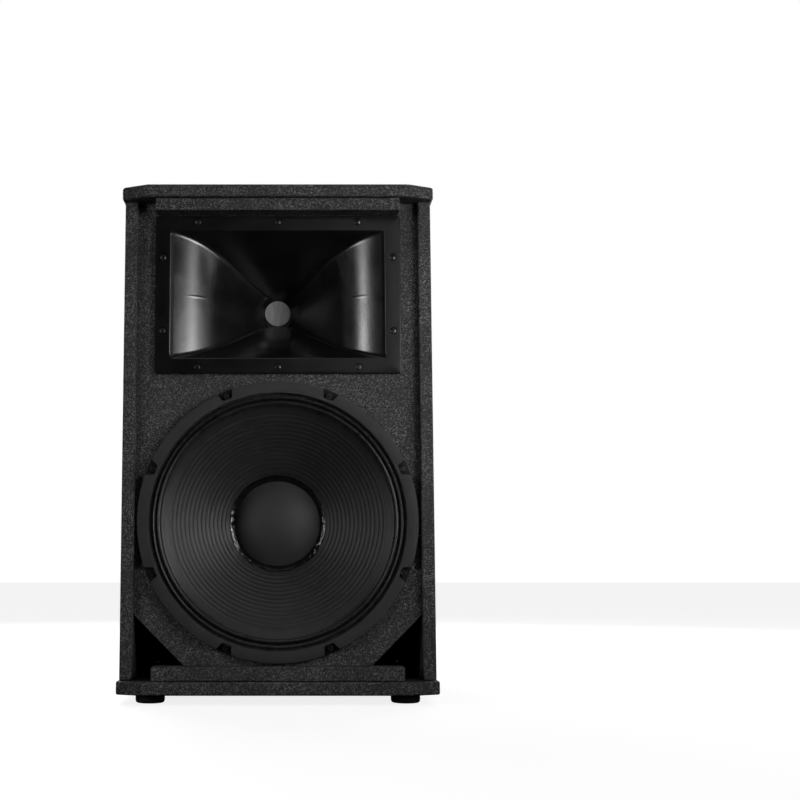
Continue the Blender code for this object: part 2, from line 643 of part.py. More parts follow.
def smooth_route(knots, count):
    """Points along a smooth curve through the knots."""
    knots = [Vector(knot) for knot in knots]
    padded = [2 * knots[0] - knots[1]] + knots + [2 * knots[-1] - knots[-2]]
    spans = len(knots) - 1
    points = []
    for index in range(count):
        place = spans * index / (count - 1)
        span = min(int(place), spans - 1)
        t = place - span
        before, start, end, after = padded[span:span + 4]
        square = (2 * before - 5 * start + 4 * end - after) * t ** 2
        cube = (3 * start - before - 3 * end + after) * t ** 3
        points.append(0.5 * (2 * start + (end - before) * t + square + cube))
    return points


def lead(name, knots, count):
    points = smooth_route(knots, count)
    curve = bpy.data.curves.new(name, "CURVE")
    curve.dimensions = "3D"
    curve.bevel_depth = LEAD_RADIUS
    curve.bevel_resolution = 2
    curve.use_fill_caps = True
    spline = curve.splines.new("POLY")
    spline.points.add(len(points) - 1)
    for target, point in zip(spline.points, points):
        target.co = (*point, 1.0)
    curve.materials.append(material("lead"))
    bpy.context.scene.collection.objects.link(bpy.data.objects.new(name, curve))


def leads():
    """The woofer's lead lies on the brace and the magnet. The horn driver's hangs down to the brace."""
    board = 0.1800 - GAP
    on_brace = 0.370 + LEAD_RADIUS + GAP
    lead("input_lead", [(-0.024, 0.1591, 0.150), (-0.024, 0.147, 0.151), (-0.023, 0.136, 0.158),
                        (-0.021, 0.131, 0.175), (-0.018, 0.134, 0.198), (-0.015, 0.143, 0.222),
                        (-0.012, 0.155, 0.245), (-0.010, 0.167, 0.259), (-0.010, board, 0.262)], 26)
    lead("woofer_lead", [(0.045, board, 0.348), (0.045, 0.165, 0.3475), (0.044, 0.145, 0.352),
                         (0.042, 0.127, 0.3670), (0.039, 0.112, 0.3745), (0.035, 0.096, on_brace + GAP),
                         (0.028, 0.076, on_brace), (0.019, 0.057, on_brace), (0.011, 0.040, on_brace),
                         (0.007, 0.027, 0.3733), (0.004, 0.012, 0.3690), (0.001, -0.004, 0.3620),
                         (0.000, -0.020, 0.3560), (0.000, -0.036, 0.3543), (0.000, -0.0549, 0.3543)], 44)
    lead("driver_lead", [(-0.015, board, 0.351), (-0.015, 0.165, 0.3505), (-0.016, 0.145, 0.354),
                         (-0.017, 0.128, 0.3670), (-0.018, 0.113, 0.3745), (-0.018, 0.098, on_brace + GAP),
                         (-0.016, 0.082, on_brace), (-0.012, 0.068, 0.3750), (-0.006, 0.058, 0.385),
                         (-0.002, 0.053, 0.405), (0.000, 0.051, 0.440), (0.000, 0.050, 0.480),
                         (0.000, 0.048, 0.510), (0.000, 0.042, 0.526), (0.000, 0.0335, 0.5325),
                         (0.000, 0.0240, 0.533)], 44)


def build():
    clear_scene()
    forward = (math.pi / 2, 0, 0)
    woofer_axis = axis_empty("woofer_axis", (0, BAFFLE_Y, WOOFER_Z), forward)
    horn_axis = axis_empty("horn_axis", (0, HORN_FRONT_Y, HORN_Z), forward)
    driver_axis = axis_empty("driver_axis", (0, HORN_FRONT_Y + THROAT_DEPTH, HORN_Z), forward)
    dish_axis = axis_empty("dish_axis", (0, BACK_PANEL_Y, DISH_Z), (-math.pi / 2, 0, 0))

    cap_board("top_panel", CEILING_Z, HEIGHT)
    bottom = cap_board("bottom_panel", FOOT_HEIGHT, FLOOR_Z)
    combine(bottom, rod("pole_hole", POLE_HOLE_RADIUS, 0, 2 * FLOOR_Z, 20, "paint"), "DIFFERENCE")
    side_panel("left_side_panel", -1)
    side_panel("right_side_panel", 1)
    back_panel()
    front_baffle(woofer_axis)
    batten("top_grille_batten", CEILING_Z - TOP_BATTEN_HEIGHT, CEILING_Z - GAP)
    batten("bottom_grille_batten", FLOOR_Z + GAP, FLOOR_Z + BOTTOM_BATTEN_HEIGHT)
    port_board("left_port_board", -1)
    port_board("right_port_board", 1)
    cross_brace()
    damping_wadding()
    for depth_name, y in (("front", FRONT_Y + FOOT_INSET), ("rear", BACK_Y - FOOT_INSET)):
        for side_name, x in (("left", -FOOT_X), ("right", FOOT_X)):
            foot(f"{depth_name}_{side_name}_foot", x, y)
    pole_socket()
    handle("left_handle", -1)
    handle("right_handle", 1)

    horn_flare(horn_axis)
    horn_gasket()
    throat_screen(driver_axis)
    driver_pole_plate(driver_axis)
    driver_phase_plug(driver_axis)
    driver_diaphragm(driver_axis)
    driver_stack(driver_axis)

    woofer_frame(woofer_axis)
    woofer_gasket_ring(woofer_axis)
    woofer_cone(woofer_axis)
    woofer_dust_cap(woofer_axis)
    woofer_voice_coil(woofer_axis)
    woofer_surround(woofer_axis)
    woofer_motor(woofer_axis)
    woofer_screws(woofer_axis)

    input_dish(dish_axis)
    crossover()
    leads()


build()
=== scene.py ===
"""Looks of the two-way PA speaker cabinet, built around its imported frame.

Metres, +Z up, the front faces -Y. Each driver is made about its own axis, local +Z the way it faces.
"""

import math

import bmesh
import bpy
from mathutils import Matrix, Vector, noise


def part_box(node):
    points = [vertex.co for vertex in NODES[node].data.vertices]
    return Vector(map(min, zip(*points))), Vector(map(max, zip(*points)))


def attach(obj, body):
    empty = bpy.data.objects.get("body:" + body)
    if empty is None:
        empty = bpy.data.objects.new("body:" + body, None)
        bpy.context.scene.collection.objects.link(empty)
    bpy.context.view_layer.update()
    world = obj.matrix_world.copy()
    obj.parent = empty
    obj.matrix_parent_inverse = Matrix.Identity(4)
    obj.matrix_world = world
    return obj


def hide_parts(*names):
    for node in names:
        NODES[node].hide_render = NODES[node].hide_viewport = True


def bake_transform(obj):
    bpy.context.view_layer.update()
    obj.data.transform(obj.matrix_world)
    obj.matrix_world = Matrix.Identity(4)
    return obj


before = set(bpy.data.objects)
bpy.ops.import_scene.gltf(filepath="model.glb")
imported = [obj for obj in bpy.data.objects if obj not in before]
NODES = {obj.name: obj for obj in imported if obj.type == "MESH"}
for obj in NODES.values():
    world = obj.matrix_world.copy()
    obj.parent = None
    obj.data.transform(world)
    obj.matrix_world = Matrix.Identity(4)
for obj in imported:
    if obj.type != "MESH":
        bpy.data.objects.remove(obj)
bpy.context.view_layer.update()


def middle(name):
    low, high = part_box(name)
    return (low + high) / 2


CABINET = "cabinet"
CONE_BODY = "woofer_moving"

# Places that the frame gives
TOP_LOW, TOP_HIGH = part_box("top_panel")
BOTTOM_LOW, BOTTOM_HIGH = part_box("bottom_panel")
SIDE_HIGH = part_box("right_side_panel")[1]
HANDLE = middle("right_handle")

GAP = 0.0003
BAFFLE_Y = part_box("front_baffle")[0].y
HORN_Z = middle("horn_flare").z
WOOFER_Z = middle("woofer_gasket_ring").z
FORWARD = Matrix.Rotation(math.pi / 2, 4, "X")
BACKWARD = Matrix.Rotation(-math.pi / 2, 4, "X")
WOOFER = Matrix.Translation((0, BAFFLE_Y, WOOFER_Z)) @ FORWARD
HORN = Matrix.Translation((0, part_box("horn_flare")[0].y, HORN_Z)) @ FORWARD
DISH = Matrix.Translation((0, SIDE_HIGH.y, middle("input_dish").z)) @ BACKWARD

# Horn, as in the frame
FLANGE_HALF = (0.172, 0.1125)
FLANGE_THICKNESS = 0.0035
MOUTH_HALF = (0.150, 0.0905)
MOUTH_CORNER = 0.006
THROAT_RADIUS = 0.019
THROAT_DEPTH = 0.136
SIDE_SLOPE = 0.70
MOUTH_FLARE_LENGTH = 0.019
HORN_WALL = 0.0035
MOULD_START = 0.009
MOULD_END = 0.028
SCREW_SEAT = -0.0024
HORN_SCREWS = [(-0.112, 0.104), (0, 0.104), (0.112, 0.104), (-0.112, -0.103), (0, -0.103), (0.112, -0.103),
               (-0.161, 0.053), (-0.161, -0.052), (0.161, 0.053), (0.161, -0.052)]

# Woofer, as in the frame
FRAME_RADIUS = 0.194
RING_INNER = 0.177
RING_OUTER = 0.193
RING_BACK = 0.0033
RING_FACE = 0.0083
LAP_RADIUS = 0.1855
NOTCH_RADIUS = 0.1815
NOTCH_FLAT = 0.0056
NOTCH_EASED = 0.0068
SCREW_CIRCLE = 0.1862
SCREW_COUNT = 8
CONE_RADIUS = 0.160
CONE_EDGE = -0.0035
CONE_NECK = 0.0503
CONE_SLOPE = 0.875
CAP_RADIUS = 0.061
CAP_RISE = 0.0235
PLATE_TOP = -0.115
ROLLS_START = 0.1606
ROLLS_END = 0.1752
RIB_START = 0.0760
RIB_PITCH = 0.0055
RIB_COUNT = 14


class Look:
    """A Principled material being wired. Its textures lie in the piece's own coordinates."""

    def __init__(self, name, roughness, metallic=0.0, specular=0.5, sheen=(0.0, 0.5)):
        self.made = bpy.data.materials.new(name)
        self.made.use_nodes = True
        self.tree = self.made.node_tree
        self.shader = self.tree.nodes["Principled BSDF"]
        self.fill(self.shader, {"Roughness": roughness, "Metallic": metallic, "Specular IOR Level": specular,
                                "Sheen Weight": sheen[0], "Sheen Roughness": sheen[1]})
        self.coords = self.add("TexCoord", {})["Object"]

    def fill(self, node, inputs):
        """Links each input that is given a socket, and sets the others."""
        for key, value in inputs.items():
            if isinstance(value, bpy.types.NodeSocket):
                self.tree.links.new(value, node.inputs[key])
            else:
                node.inputs[key].default_value = value

    def add(self, kind, inputs, **settings):
        """Adds a node and gives its outputs."""
        node = self.tree.nodes.new("ShaderNode" + kind)
        for key, value in settings.items():
            setattr(node, key, value)
        self.fill(node, inputs)
        return node.outputs

    def vector(self, stretch):
        if stretch is None:
            return self.coords
        return self.add("Mapping", {"Vector": self.coords, "Scale": stretch})["Vector"]

    def noise(self, scale, detail=3.0, roughness=0.6, distortion=0.0, stretch=None):
        return self.add("TexNoise", {"Vector": self.vector(stretch), "Scale": scale, "Detail": detail,
                                     "Roughness": roughness, "Distortion": distortion})["Fac"]

    def cells(self, scale):
        return self.add("TexVoronoi", {"Vector": self.coords, "Scale": scale})

    def waves(self, scale, direction, distortion=0.0, detail=0.0, stretch=None):
        return self.add("TexWave", {"Vector": self.vector(stretch), "Scale": scale, "Distortion": distortion,
                                    "Detail": detail}, bands_direction=direction)["Fac"]

    def weave(self, scale):
        return self.math("ADD", self.waves(scale, "X"), self.waves(scale, "Z"))

    def math(self, operation, first, second):
        return self.add("Math", {0: first, 1: second}, operation=operation)["Value"]

    def ranged(self, value, new_low, new_high, low=0.3, high=0.7):
        return self.add("MapRange", {"Value": value, "From Min": low, "From Max": high, "To Min": new_low,
                                     "To Max": new_high})["Result"]

    def colour(self, value, *stops):
        """Colours the material by a ramp of (position, colour) stops."""
        node = self.tree.nodes.new("ShaderNodeValToRGB")
        ramp = node.color_ramp
        while len(ramp.elements) < len(stops):
            ramp.elements.new(0.5)
        for element, (position, colour) in zip(ramp.elements, stops):
            element.position = position
            element.color = (*colour, 1.0)
        self.fill(node, {"Fac": value})
        self.fill(self.shader, {"Base Color": node.outputs["Color"]})

    def roughness(self, value, new_low, new_high, low=0.3, high=0.7):
        self.fill(self.shader, {"Roughness": self.ranged(value, new_low, new_high, low, high)})

    def bump(self, *layers):
        """Chained bumps of (height, distance in metres, strength), the coarsest first."""
        inputs = {}
        for height, distance, strength in layers:
            inputs.update({"Height": height, "Distance": distance, "Strength": strength})
            inputs["Normal"] = self.add("Bump", inputs)["Normal"]
        self.fill(self.shader, {"Normal": inputs["Normal"]})


def grey(level, blue=0.0):
    return (level, level, level * (1 + blue))


# Materials

def paint_material():
    """Thick sprayed texture paint: fine pebbles over a rolled orange peel. Some pebbles are glossier, and a
    few have a light base colour that is a painted highlight standing in for their sparkle.
    """
    look = Look("textured_paint", 0.36)
    pebbles = look.cells(880)
    painted_glint_and_gloss = look.add("SeparateColor", {"Color": pebbles["Color"]})
    peel = look.noise(300, 2.0, 0.6, 0.2)
    drift = look.ranged(look.noise(14), 0.88, 1.12)
    tone = look.math("MULTIPLY", painted_glint_and_gloss["Red"], drift)
    # Painted highlight: the lightest pebbles get a base colour up to 0.15, which stands in for sparkle on the
    # black paint.
    look.colour(tone, (0.05, grey(0.0004)), (0.66, grey(0.0035)), (1.0, grey(0.150, 0.02)))
    look.roughness(painted_glint_and_gloss["Green"], 0.58, 0.30, 0.0, 1.0)
    look.bump((peel, 0.0013, 0.9), (pebbles["Distance"], -0.0009, 0.9))
    return look.made


def horn_material():
    """Satin moulded plastic with a very fine spark-eroded grain and faint handling haze."""
    look = Look("satin_moulding", 0.22, specular=0.75)
    haze = look.noise(26, 4.0, 0.6, 0.3)
    look.colour(haze, (0.35, grey(0.0034)), (0.70, grey(0.0062, 0.05)))
    look.roughness(haze, 0.20, 0.27)
    look.bump((haze, 0.0010, 0.08), (look.noise(1500, 2.0, 0.5), 0.00010, 0.4))
    return look.made


def moulded_material(name, level=0.012, roughness=0.5, grain_scale=900):
    """Black moulded plastic with a leather-like mould grain."""
    look = Look(name, roughness)
    haze = look.noise(40)
    look.colour(haze, (0.3, grey(level * 0.8)), (0.7, grey(level * 1.3, 0.03)))
    look.roughness(haze, roughness - 0.06, roughness + 0.08)
    look.bump((look.cells(grain_scale)["Distance"], 0.0003, 0.45))
    return look.made


def ring_material():
    """Flat dense gasket fibre, matt mid grey with a faint mottle."""
    look = Look("gasket_fibre", 0.72, specular=0.35)
    fibre = look.noise(1400)
    cloud = look.noise(60)
    tone = look.math("ADD", look.ranged(cloud, 0.0, 0.5), look.ranged(fibre, 0.0, 0.5))
    look.colour(tone, (0.1, grey(0.0235)), (0.9, grey(0.031, 0.02)))
    look.roughness(fibre, 0.66, 0.80)
    look.bump((cloud, 0.0004, 0.15), (fibre, 0.00015, 0.4))
    return look.made


def paper_material():
    """Pressed black paper: short crossed fibres and a slight sheen where it was doped."""
    look = Look("cone_paper", 0.52, sheen=(0.08, 0.5))
    long_fibre = look.noise(1300, 3.0, 0.65, 1.5, (1.0, 1.0, 0.30))
    cross_fibre = look.noise(1300, 3.0, 0.65, 1.5, (0.30, 1.0, 1.0))
    fibre = look.math("MAXIMUM", long_fibre, cross_fibre)
    tone = look.math("MULTIPLY", fibre, look.ranged(look.noise(45, 4.0), 0.85, 1.15))
    look.colour(tone, (0.35, grey(0.008)), (0.60, grey(0.014)), (0.80, grey(0.028, 0.02)))
    look.roughness(fibre, 0.38, 0.54, 0.3, 0.8)
    look.bump((fibre, 0.00035, 0.5))
    return look.made


def cap_material():
    """Pressed felt dust cap, matt dark grey with a fine nap."""
    look = Look("cap_felt", 0.68, sheen=(0.15, 0.45))
    nap = look.noise(1700, 3.0, 0.65, 0.8)
    tone = look.math("MULTIPLY", nap, look.ranged(look.noise(70), 0.92, 1.08))
    look.colour(tone, (0.3, grey(0.018)), (0.7, grey(0.029, 0.02)))
    look.roughness(nap, 0.60, 0.76)
    look.bump((nap, 0.00025, 0.45))
    return look.made


def glue_material():
    """Black adhesive bead, cured glossy with a skin of shallow waves."""
    look = Look("glue_bead", 0.08, specular=0.6)
    waves = look.noise(160, 3.0, 0.6, 0.6)
    look.colour(waves, (0.3, grey(0.0015)), (0.7, grey(0.006)))
    look.roughness(waves, 0.05, 0.13)
    look.bump((waves, 0.0016, 0.7))
    return look.made


def surround_material():
    """Doped cloth: the weave shows through a slightly tacky coat that shines on the rolls."""
    look = Look("doped_cloth", 0.34)
    weave = look.weave(330)
    coat = look.noise(120)
    tone = look.math("MULTIPLY", look.ranged(weave, 0.4, 1.0, 0.0, 2.0), coat)
    look.colour(tone, (0.2, grey(0.008)), (0.6, grey(0.024)))
    look.roughness(coat, 0.26, 0.38)
    look.bump((weave, 0.00012, 0.4), (coat, 0.0004, 0.25))
    return look.made


def mesh_wire_material():
    """Fine light grey woven screen, its wires a little uneven in tone."""
    look = Look("screen_wire", 0.40, metallic=0.25)
    streak = look.noise(320, stretch=(1.0, 1.0, 0.15))
    look.colour(streak, (0.3, grey(0.50)), (0.7, grey(0.78)))
    look.roughness(streak, 0.34, 0.52)
    look.bump((streak, 0.0001, 0.3))
    return look.made


def screen_cloth_material():
    """Grey cloth behind the screen's wires."""
    look = Look("screen_cloth", 0.8)
    warp, weft = look.waves(800, "X"), look.waves(800, "Z")
    streak = look.noise(180, stretch=(1.0, 1.0, 0.2))
    tone = look.math("MULTIPLY", look.ranged(look.math("ADD", warp, weft), 0.7, 1.0, 0.0, 2.0), streak)
    look.colour(tone, (0.25, grey(0.30)), (0.6, grey(0.55)))
    look.bump((warp, 0.0001, 0.4), (weft, 0.0001, 0.4))
    return look.made


def rubber_material():
    look = Look("foot_rubber", 0.68, specular=0.4)
    dust = look.noise(70, 4.0, 0.65)
    look.colour(dust, (0.35, grey(0.009)), (0.75, grey(0.019)))
    look.roughness(dust, 0.60, 0.80)
    look.bump((look.noise(1100), 0.0002, 0.4))
    return look.made


def foam_material():
    look = Look("gasket_foam", 0.9, specular=0.2)
    pores = look.cells(1500)["Distance"]
    look.colour(pores, (0.0, grey(0.0048)), (0.6, grey(0.018)))
    look.bump((pores, 0.0003, 0.8))
    return look.made


def coat_material():
    """Powder coat: a fine pebble with a little tone change."""
    look = Look("powder_coat", 0.62, specular=0.2)
    pebble = look.noise(700, 2.5)
    look.colour(pebble, (0.3, grey(0.00175)), (0.7, grey(0.0035, 0.04)))
    look.roughness(pebble, 0.55, 0.70)
    look.bump((pebble, 0.0003, 0.35))
    return look.made


def metal_material(name, dark, light, roughness, brushed=None):
    """Bare or plated metal with fine brushed lines or mottled plating."""
    look = Look(name, roughness, metallic=1.0)
    lines = look.noise(500, 4.0, 0.6, 0.0, brushed)
    tone = look.math("MULTIPLY", lines, look.ranged(look.noise(60, 4.0), 0.85, 1.15))
    look.colour(tone, (0.3, dark), (0.7, light))
    look.roughness(lines, roughness - 0.06, roughness + 0.12)
    look.bump((lines, 0.0001, 0.25))
    return look.made


def ferrite_material():
    look = Look("ferrite_ceramic", 0.6)
    sinter = look.noise(700, 5.0, 0.7)
    chips = look.ranged(look.cells(90)["Distance"], 0.8, 1.15, 0.0, 0.7)
    look.colour(look.math("MULTIPLY", sinter, chips), (0.25, grey(0.022)), (0.65, grey(0.06, 0.05)))
    look.roughness(sinter, 0.5, 0.75)
    look.bump((sinter, 0.0003, 0.5))
    return look.made


def plywood_material():
    """Birch plywood face: long grain with fine pores and a slow change of tone."""
    look = Look("bare_plywood", 0.62)
    along = (0.06, 1.0, 1.0)
    grain = look.noise(260, 4.0, 0.6, 0.4, along)
    rings = look.ranged(look.waves(22, "Z", 6.0, 3.0, along), 0.8, 1.15, 0.0, 1.0)
    look.colour(look.math("MULTIPLY", grain, rings), (0.25, (0.25, 0.15, 0.075)), (0.5, (0.40, 0.27, 0.15)),
                (0.75, (0.52, 0.38, 0.24)))
    look.roughness(grain, 0.55, 0.75)
    look.bump((grain, 0.0003, 0.4))
    return look.made


def wadding_material():
    look = Look("wadding_fibre", 0.95, specular=0.2, sheen=(0.3, 0.5))
    fibre = look.noise(420, 5.0, 0.7, 2.5)
    tuft = look.noise(40)
    tone = look.math("MULTIPLY", fibre, look.ranged(tuft, 0.8, 1.1))
    look.colour(tone, (0.2, grey(0.42)), (0.6, grey(0.74)))
    look.bump((tuft, 0.006, 0.6), (fibre, 0.0012, 0.8))
    return look.made


def winding_material():
    """Enamelled copper wire in close turns."""
    look = Look("copper_winding", 0.3, metallic=1.0)
    turns = look.waves(260, "Y", 0.3, 1.0)
    look.colour(turns, (0.15, (0.16, 0.05, 0.015)), (0.7, (0.62, 0.25, 0.09)))
    look.roughness(turns, 0.40, 0.24, 0.0, 1.0)
    look.bump((turns, 0.0006, 0.7))
    return look.made


def spider_material():
    look = Look("spider_cloth", 0.85, specular=0.25)
    weave = look.weave(420)
    look.colour(weave, (0.2, (0.24, 0.16, 0.055)), (0.9, (0.56, 0.42, 0.18)))
    look.bump((weave, 0.0003, 0.6))
    return look.made


def board_material():
    """Green circuit board with a glass weave under the mask."""
    look = Look("circuit_board", 0.35)
    weave = look.weave(300)
    tone = look.math("MULTIPLY", look.ranged(weave, 0.8, 1.0, 0.0, 2.0), look.noise(120, 2.0, 0.5))
    look.colour(tone, (0.3, (0.006, 0.055, 0.018)), (0.6, (0.018, 0.12, 0.04)))
    look.roughness(weave, 0.28, 0.44, 0.0, 2.0)
    look.bump((weave, 0.0001, 0.3))
    return look.made


def film_can_material():
    look = Look("film_can", 0.38)
    sleeve = look.noise(240)
    look.colour(sleeve, (0.3, (0.26, 0.02, 0.012)), (0.7, (0.42, 0.05, 0.025)))
    look.roughness(sleeve, 0.30, 0.48)
    look.bump((sleeve, 0.0003, 0.3))
    return look.made


def lead_material():
    look = Look("lead_sheath", 0.5)
    skin = look.noise(600)
    look.colour(skin, (0.3, grey(0.012)), (0.7, grey(0.026)))
    look.roughness(skin, 0.42, 0.60)
    look.bump((skin, 0.0002, 0.35))
    return look.made


def floor_material():
    look = Look("studio_floor", 0.85, specular=0.2)
    look.colour(look.noise(3, 3.0, 0.5), (0.3, grey(0.27)), (0.7, grey(0.29)))
    look.fill(look.shader, {"Emission Color": (1.0, 1.0, 1.0, 1.0), "Emission Strength": 0.84})
    return look.made


PAINT = paint_material()
HORN_PLASTIC = horn_material()
MOULDED = moulded_material("moulded_plastic")
SOCKET_PLASTIC = moulded_material("socket_plastic", 0.015, 0.38, 1400)
RING_FIBRE = ring_material()
PAPER = paper_material()
FELT = cap_material()
GLUE = glue_material()
CLOTH = surround_material()
WIRE = mesh_wire_material()
SCREEN_CLOTH = screen_cloth_material()
RUBBER = rubber_material()
FOAM = foam_material()
POWDER_COAT = coat_material()
SCREW_METAL = metal_material("screw_metal", grey(0.06), grey(0.14), 0.30)
BLACK_OXIDE = metal_material("black_oxide", grey(0.05), grey(0.11), 0.32)
STEEL = metal_material("zinc_steel", grey(0.34), grey(0.62), 0.34, (1.0, 1.0, 0.1))
BRASS = metal_material("contact_brass", (0.36, 0.22, 0.07), (0.72, 0.50, 0.20), 0.28)
TITANIUM = metal_material("formed_titanium", (0.42, 0.41, 0.40), (0.62, 0.61, 0.60), 0.28)
FERRITE = ferrite_material()
PLYWOOD = plywood_material()
WADDING = wadding_material()
WINDING = winding_material()
SPIDER_CLOTH = spider_material()
CIRCUIT = board_material()
FILM_CAN = film_can_material()
LEAD = lead_material()
FLOOR = floor_material()


# Mesh tools

def linked(name, data):
    """A new object in the scene."""
    obj = bpy.data.objects.new(name, data)
    bpy.context.scene.collection.objects.link(obj)
    return obj


def mesh_of(bm, name="part"):
    """A mesh of a bmesh, which is freed."""
    mesh = bpy.data.meshes.new(name)
    bm.to_mesh(mesh)
    bm.free()
    return mesh


def as_piece(name, bm, material, body=CABINET, replaces=(), place=None, sharp=38):
    """Makes an object of a bmesh in the row frame, shaded smooth up to the sharp angle."""
    if place is not None:
        bm.transform(place)
    bmesh.ops.remove_doubles(bm, verts=bm.verts, dist=0.0000005)
    bmesh.ops.recalc_face_normals(bm, faces=bm.faces)
    mesh = mesh_of(bm, name)
    mesh.shade_smooth()
    mesh.set_sharp_from_angle(angle=math.radians(sharp))
    mesh.materials.append(material)
    obj = linked(name, mesh)
    settle(obj, body, replaces)
    return obj


def settle(obj, body, replaces):
    if body:
        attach(obj, body)
    if replaces:
        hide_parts(*replaces)


def rings_bmesh(rings, wrap=False, caps=False):
    """Joins closed rings of points. wrap also joins the last ring to the first."""
    bm = bmesh.new()
    rows = [[bm.verts.new(point) for point in ring] for ring in rings]
    pairs = list(zip(rows, rows[1:]))
    if wrap:
        pairs.append((rows[-1], rows[0]))
    for near, far in pairs:
        for index in range(len(near)):
            bm.faces.new((near[index - 1], near[index], far[index], far[index - 1]))
    if caps:
        bm.faces.new(rows[0])
        bm.faces.new(rows[-1])
    bmesh.ops.remove_doubles(bm, verts=bm.verts, dist=0.0000005)
    bmesh.ops.dissolve_degenerate(bm, edges=bm.edges, dist=0.0000005)
    return bm


def polar(radius, angle, *height):
    return (radius * math.cos(angle), radius * math.sin(angle), *height)


def turned_bmesh(profile, steps):
    """Spins (radius, height) points about local Z. A profile that starts on the axis also ends on it."""
    angles = [2 * math.pi * step / steps for step in range(steps)]
    rings = [[polar(radius, angle, height) for angle in angles] for radius, height in profile]
    return rings_bmesh(rings, wrap=profile[0][0] > 0)


def pin_bmesh(radius, low, high, steps):
    return turned_bmesh([(0, low), (radius, low), (radius, high), (0, high)], steps)


def spaced(start, end, count):
    """Even values from start to end, count steps apart."""
    return [start + (end - start) * step / count for step in range(count + 1)]


def thickened(front, thickness):
    """A closed profile of a sheet: its front points, then the same ones a thickness lower."""
    return front + [(radius, height - thickness) for radius, height in reversed(front)]


def eased(before, here, after, radius, steps):
    """2D points that round the corner at here."""
    here = Vector(here)
    before = Vector(before) - here
    after = Vector(after) - here
    reach = min(radius, before.length * 0.45, after.length * 0.45)
    start = here + before.normalized() * reach
    end = here + after.normalized() * reach
    curve = [start * (1 - t) ** 2 + here * 2 * t * (1 - t) + end * t ** 2 for t in spaced(0, 1, steps)]
    return [(point.x, point.y) for point in curve]


def softened(profile, radius, steps=3):
    """Rounds the corners of a profile of 2D points."""
    made = []
    for index, point in enumerate(profile):
        made += eased(profile[index - 1], point, profile[(index + 1) % len(profile)], radius, steps)
    return made


def rounded_ring(half_x, half_y, radius, height, corner_steps):
    points = []
    for quarter, (side_x, side_y) in enumerate(((1, 1), (-1, 1), (-1, -1), (1, -1))):
        for step in range(corner_steps + 1):
            x, y = polar(radius, math.pi / 2 * (quarter + step / corner_steps))
            points.append((side_x * (half_x - radius) + x, side_y * (half_y - radius) + y, height))
    return points


def prism_bmesh(outline, low, high):
    """Extrudes an outline of (x, y) points from z low to z high."""
    return rings_bmesh([[(x, y, height) for x, y in outline] for height in (low, high)], caps=True)


def box_bmesh(low, high):
    bm = bmesh.new()
    low, high = Vector(low), Vector(high)
    bmesh.ops.create_cube(bm, size=1.0)
    for vert in bm.verts:
        vert.co = (low + high) / 2 + vert.co * (high - low)
    return bm


def merged(*parts):
    """One bmesh of several, which are freed."""
    bm = bmesh.new()
    for part in parts:
        mesh = mesh_of(part)
        bm.from_mesh(mesh)
        bpy.data.meshes.remove(mesh)
    return bm


def copies(bm, places):
    """One bmesh holding a copy of bm at each matrix. bm is freed."""
    mesh = mesh_of(bm)
    made = bmesh.new()
    for place in places:
        start = len(made.verts)
        made.from_mesh(mesh)
        made.verts.ensure_lookup_table()
        bmesh.ops.transform(made, matrix=place, verts=made.verts[start:])
    bpy.data.meshes.remove(mesh)
    return made


def carved(bm, cutter, operation="DIFFERENCE"):
    """bm with the cutter taken out of it, or joined to it, as a bmesh. Both inputs are freed."""
    for part in (bm, cutter):
        bmesh.ops.recalc_face_normals(part, faces=part.faces)
    body = linked("carve_body", mesh_of(bm))
    tool = linked("carve_tool", mesh_of(cutter))
    cut = body.modifiers.new("cut", "BOOLEAN")
    cut.operation = operation
    cut.solver = "EXACT"
    cut.object = tool
    graph = bpy.context.evaluated_depsgraph_get()
    result = bpy.data.meshes.new_from_object(body.evaluated_get(graph))
    made = bmesh.new()
    made.from_mesh(result)
    bpy.data.meshes.remove(result)
    for obj in (body, tool):
        mesh = obj.data
        bpy.data.objects.remove(obj, do_unlink=True)
        bpy.data.meshes.remove(mesh)
    return made


def round_edges(obj, width, segments):
    bevel = obj.modifiers.new("edges", "BEVEL")
    bevel.width = width
    bevel.segments = segments
    bevel.limit_method = "ANGLE"
    bevel.angle_limit = math.radians(60)
    bevel.harden_normals = True


def screw_bmesh(radius, height):
    """A pan head standing on local z = 0 with a cross recess."""
    dome = [(0, 0), (radius, 0), (radius, height * 0.45), (radius * 0.93, height * 0.72),
            (radius * 0.72, height * 0.93), (radius * 0.4, height), (0, height)]
    bm = turned_bmesh(dome, 28)
    reach, half = radius * 0.56, radius * 0.13
    low, high = height * 0.35, height * 1.5
    bm = carved(bm, box_bmesh((-reach, -half, low), (reach, half, high)))
    return carved(bm, box_bmesh((-half, -reach, low), (half, reach, high)))


def turn_at(x, y, z, angle=0.0):
    return Matrix.Translation((x, y, z)) @ Matrix.Rotation(angle, 4, "Z")


def screws(name, spots, height, radius, depth, angle, step, place):
    """Cross-recess screws, each turned by hand to a stop of its own."""
    places = [turn_at(x, y, height, angle + index * step) for index, (x, y) in enumerate(spots)]
    as_piece(name, copies(screw_bmesh(radius, depth), places), BLACK_OXIDE, place=place)


def dress(material, *names):
    """Gives CAD nodes a finished material."""
    for name in names:
        for slot in NODES[name].material_slots:
            slot.material = material


# Cabinet boards

def painted(name, bm, width, segments):
    board = as_piece(name + "_painted", bm, PAINT, replaces=[name], sharp=30)
    round_edges(board, width, segments)


def cap_outline():
    """Plan of the top and bottom boards: bevelled front corners, every corner rounded."""
    half = TOP_HIGH.x
    points = [(-half, -0.1975), (-0.182, TOP_LOW.y), (0.182, TOP_LOW.y), (half, -0.1975), (half, TOP_HIGH.y),
              (-half, TOP_HIGH.y)]
    return softened(points, 0.004, 4)


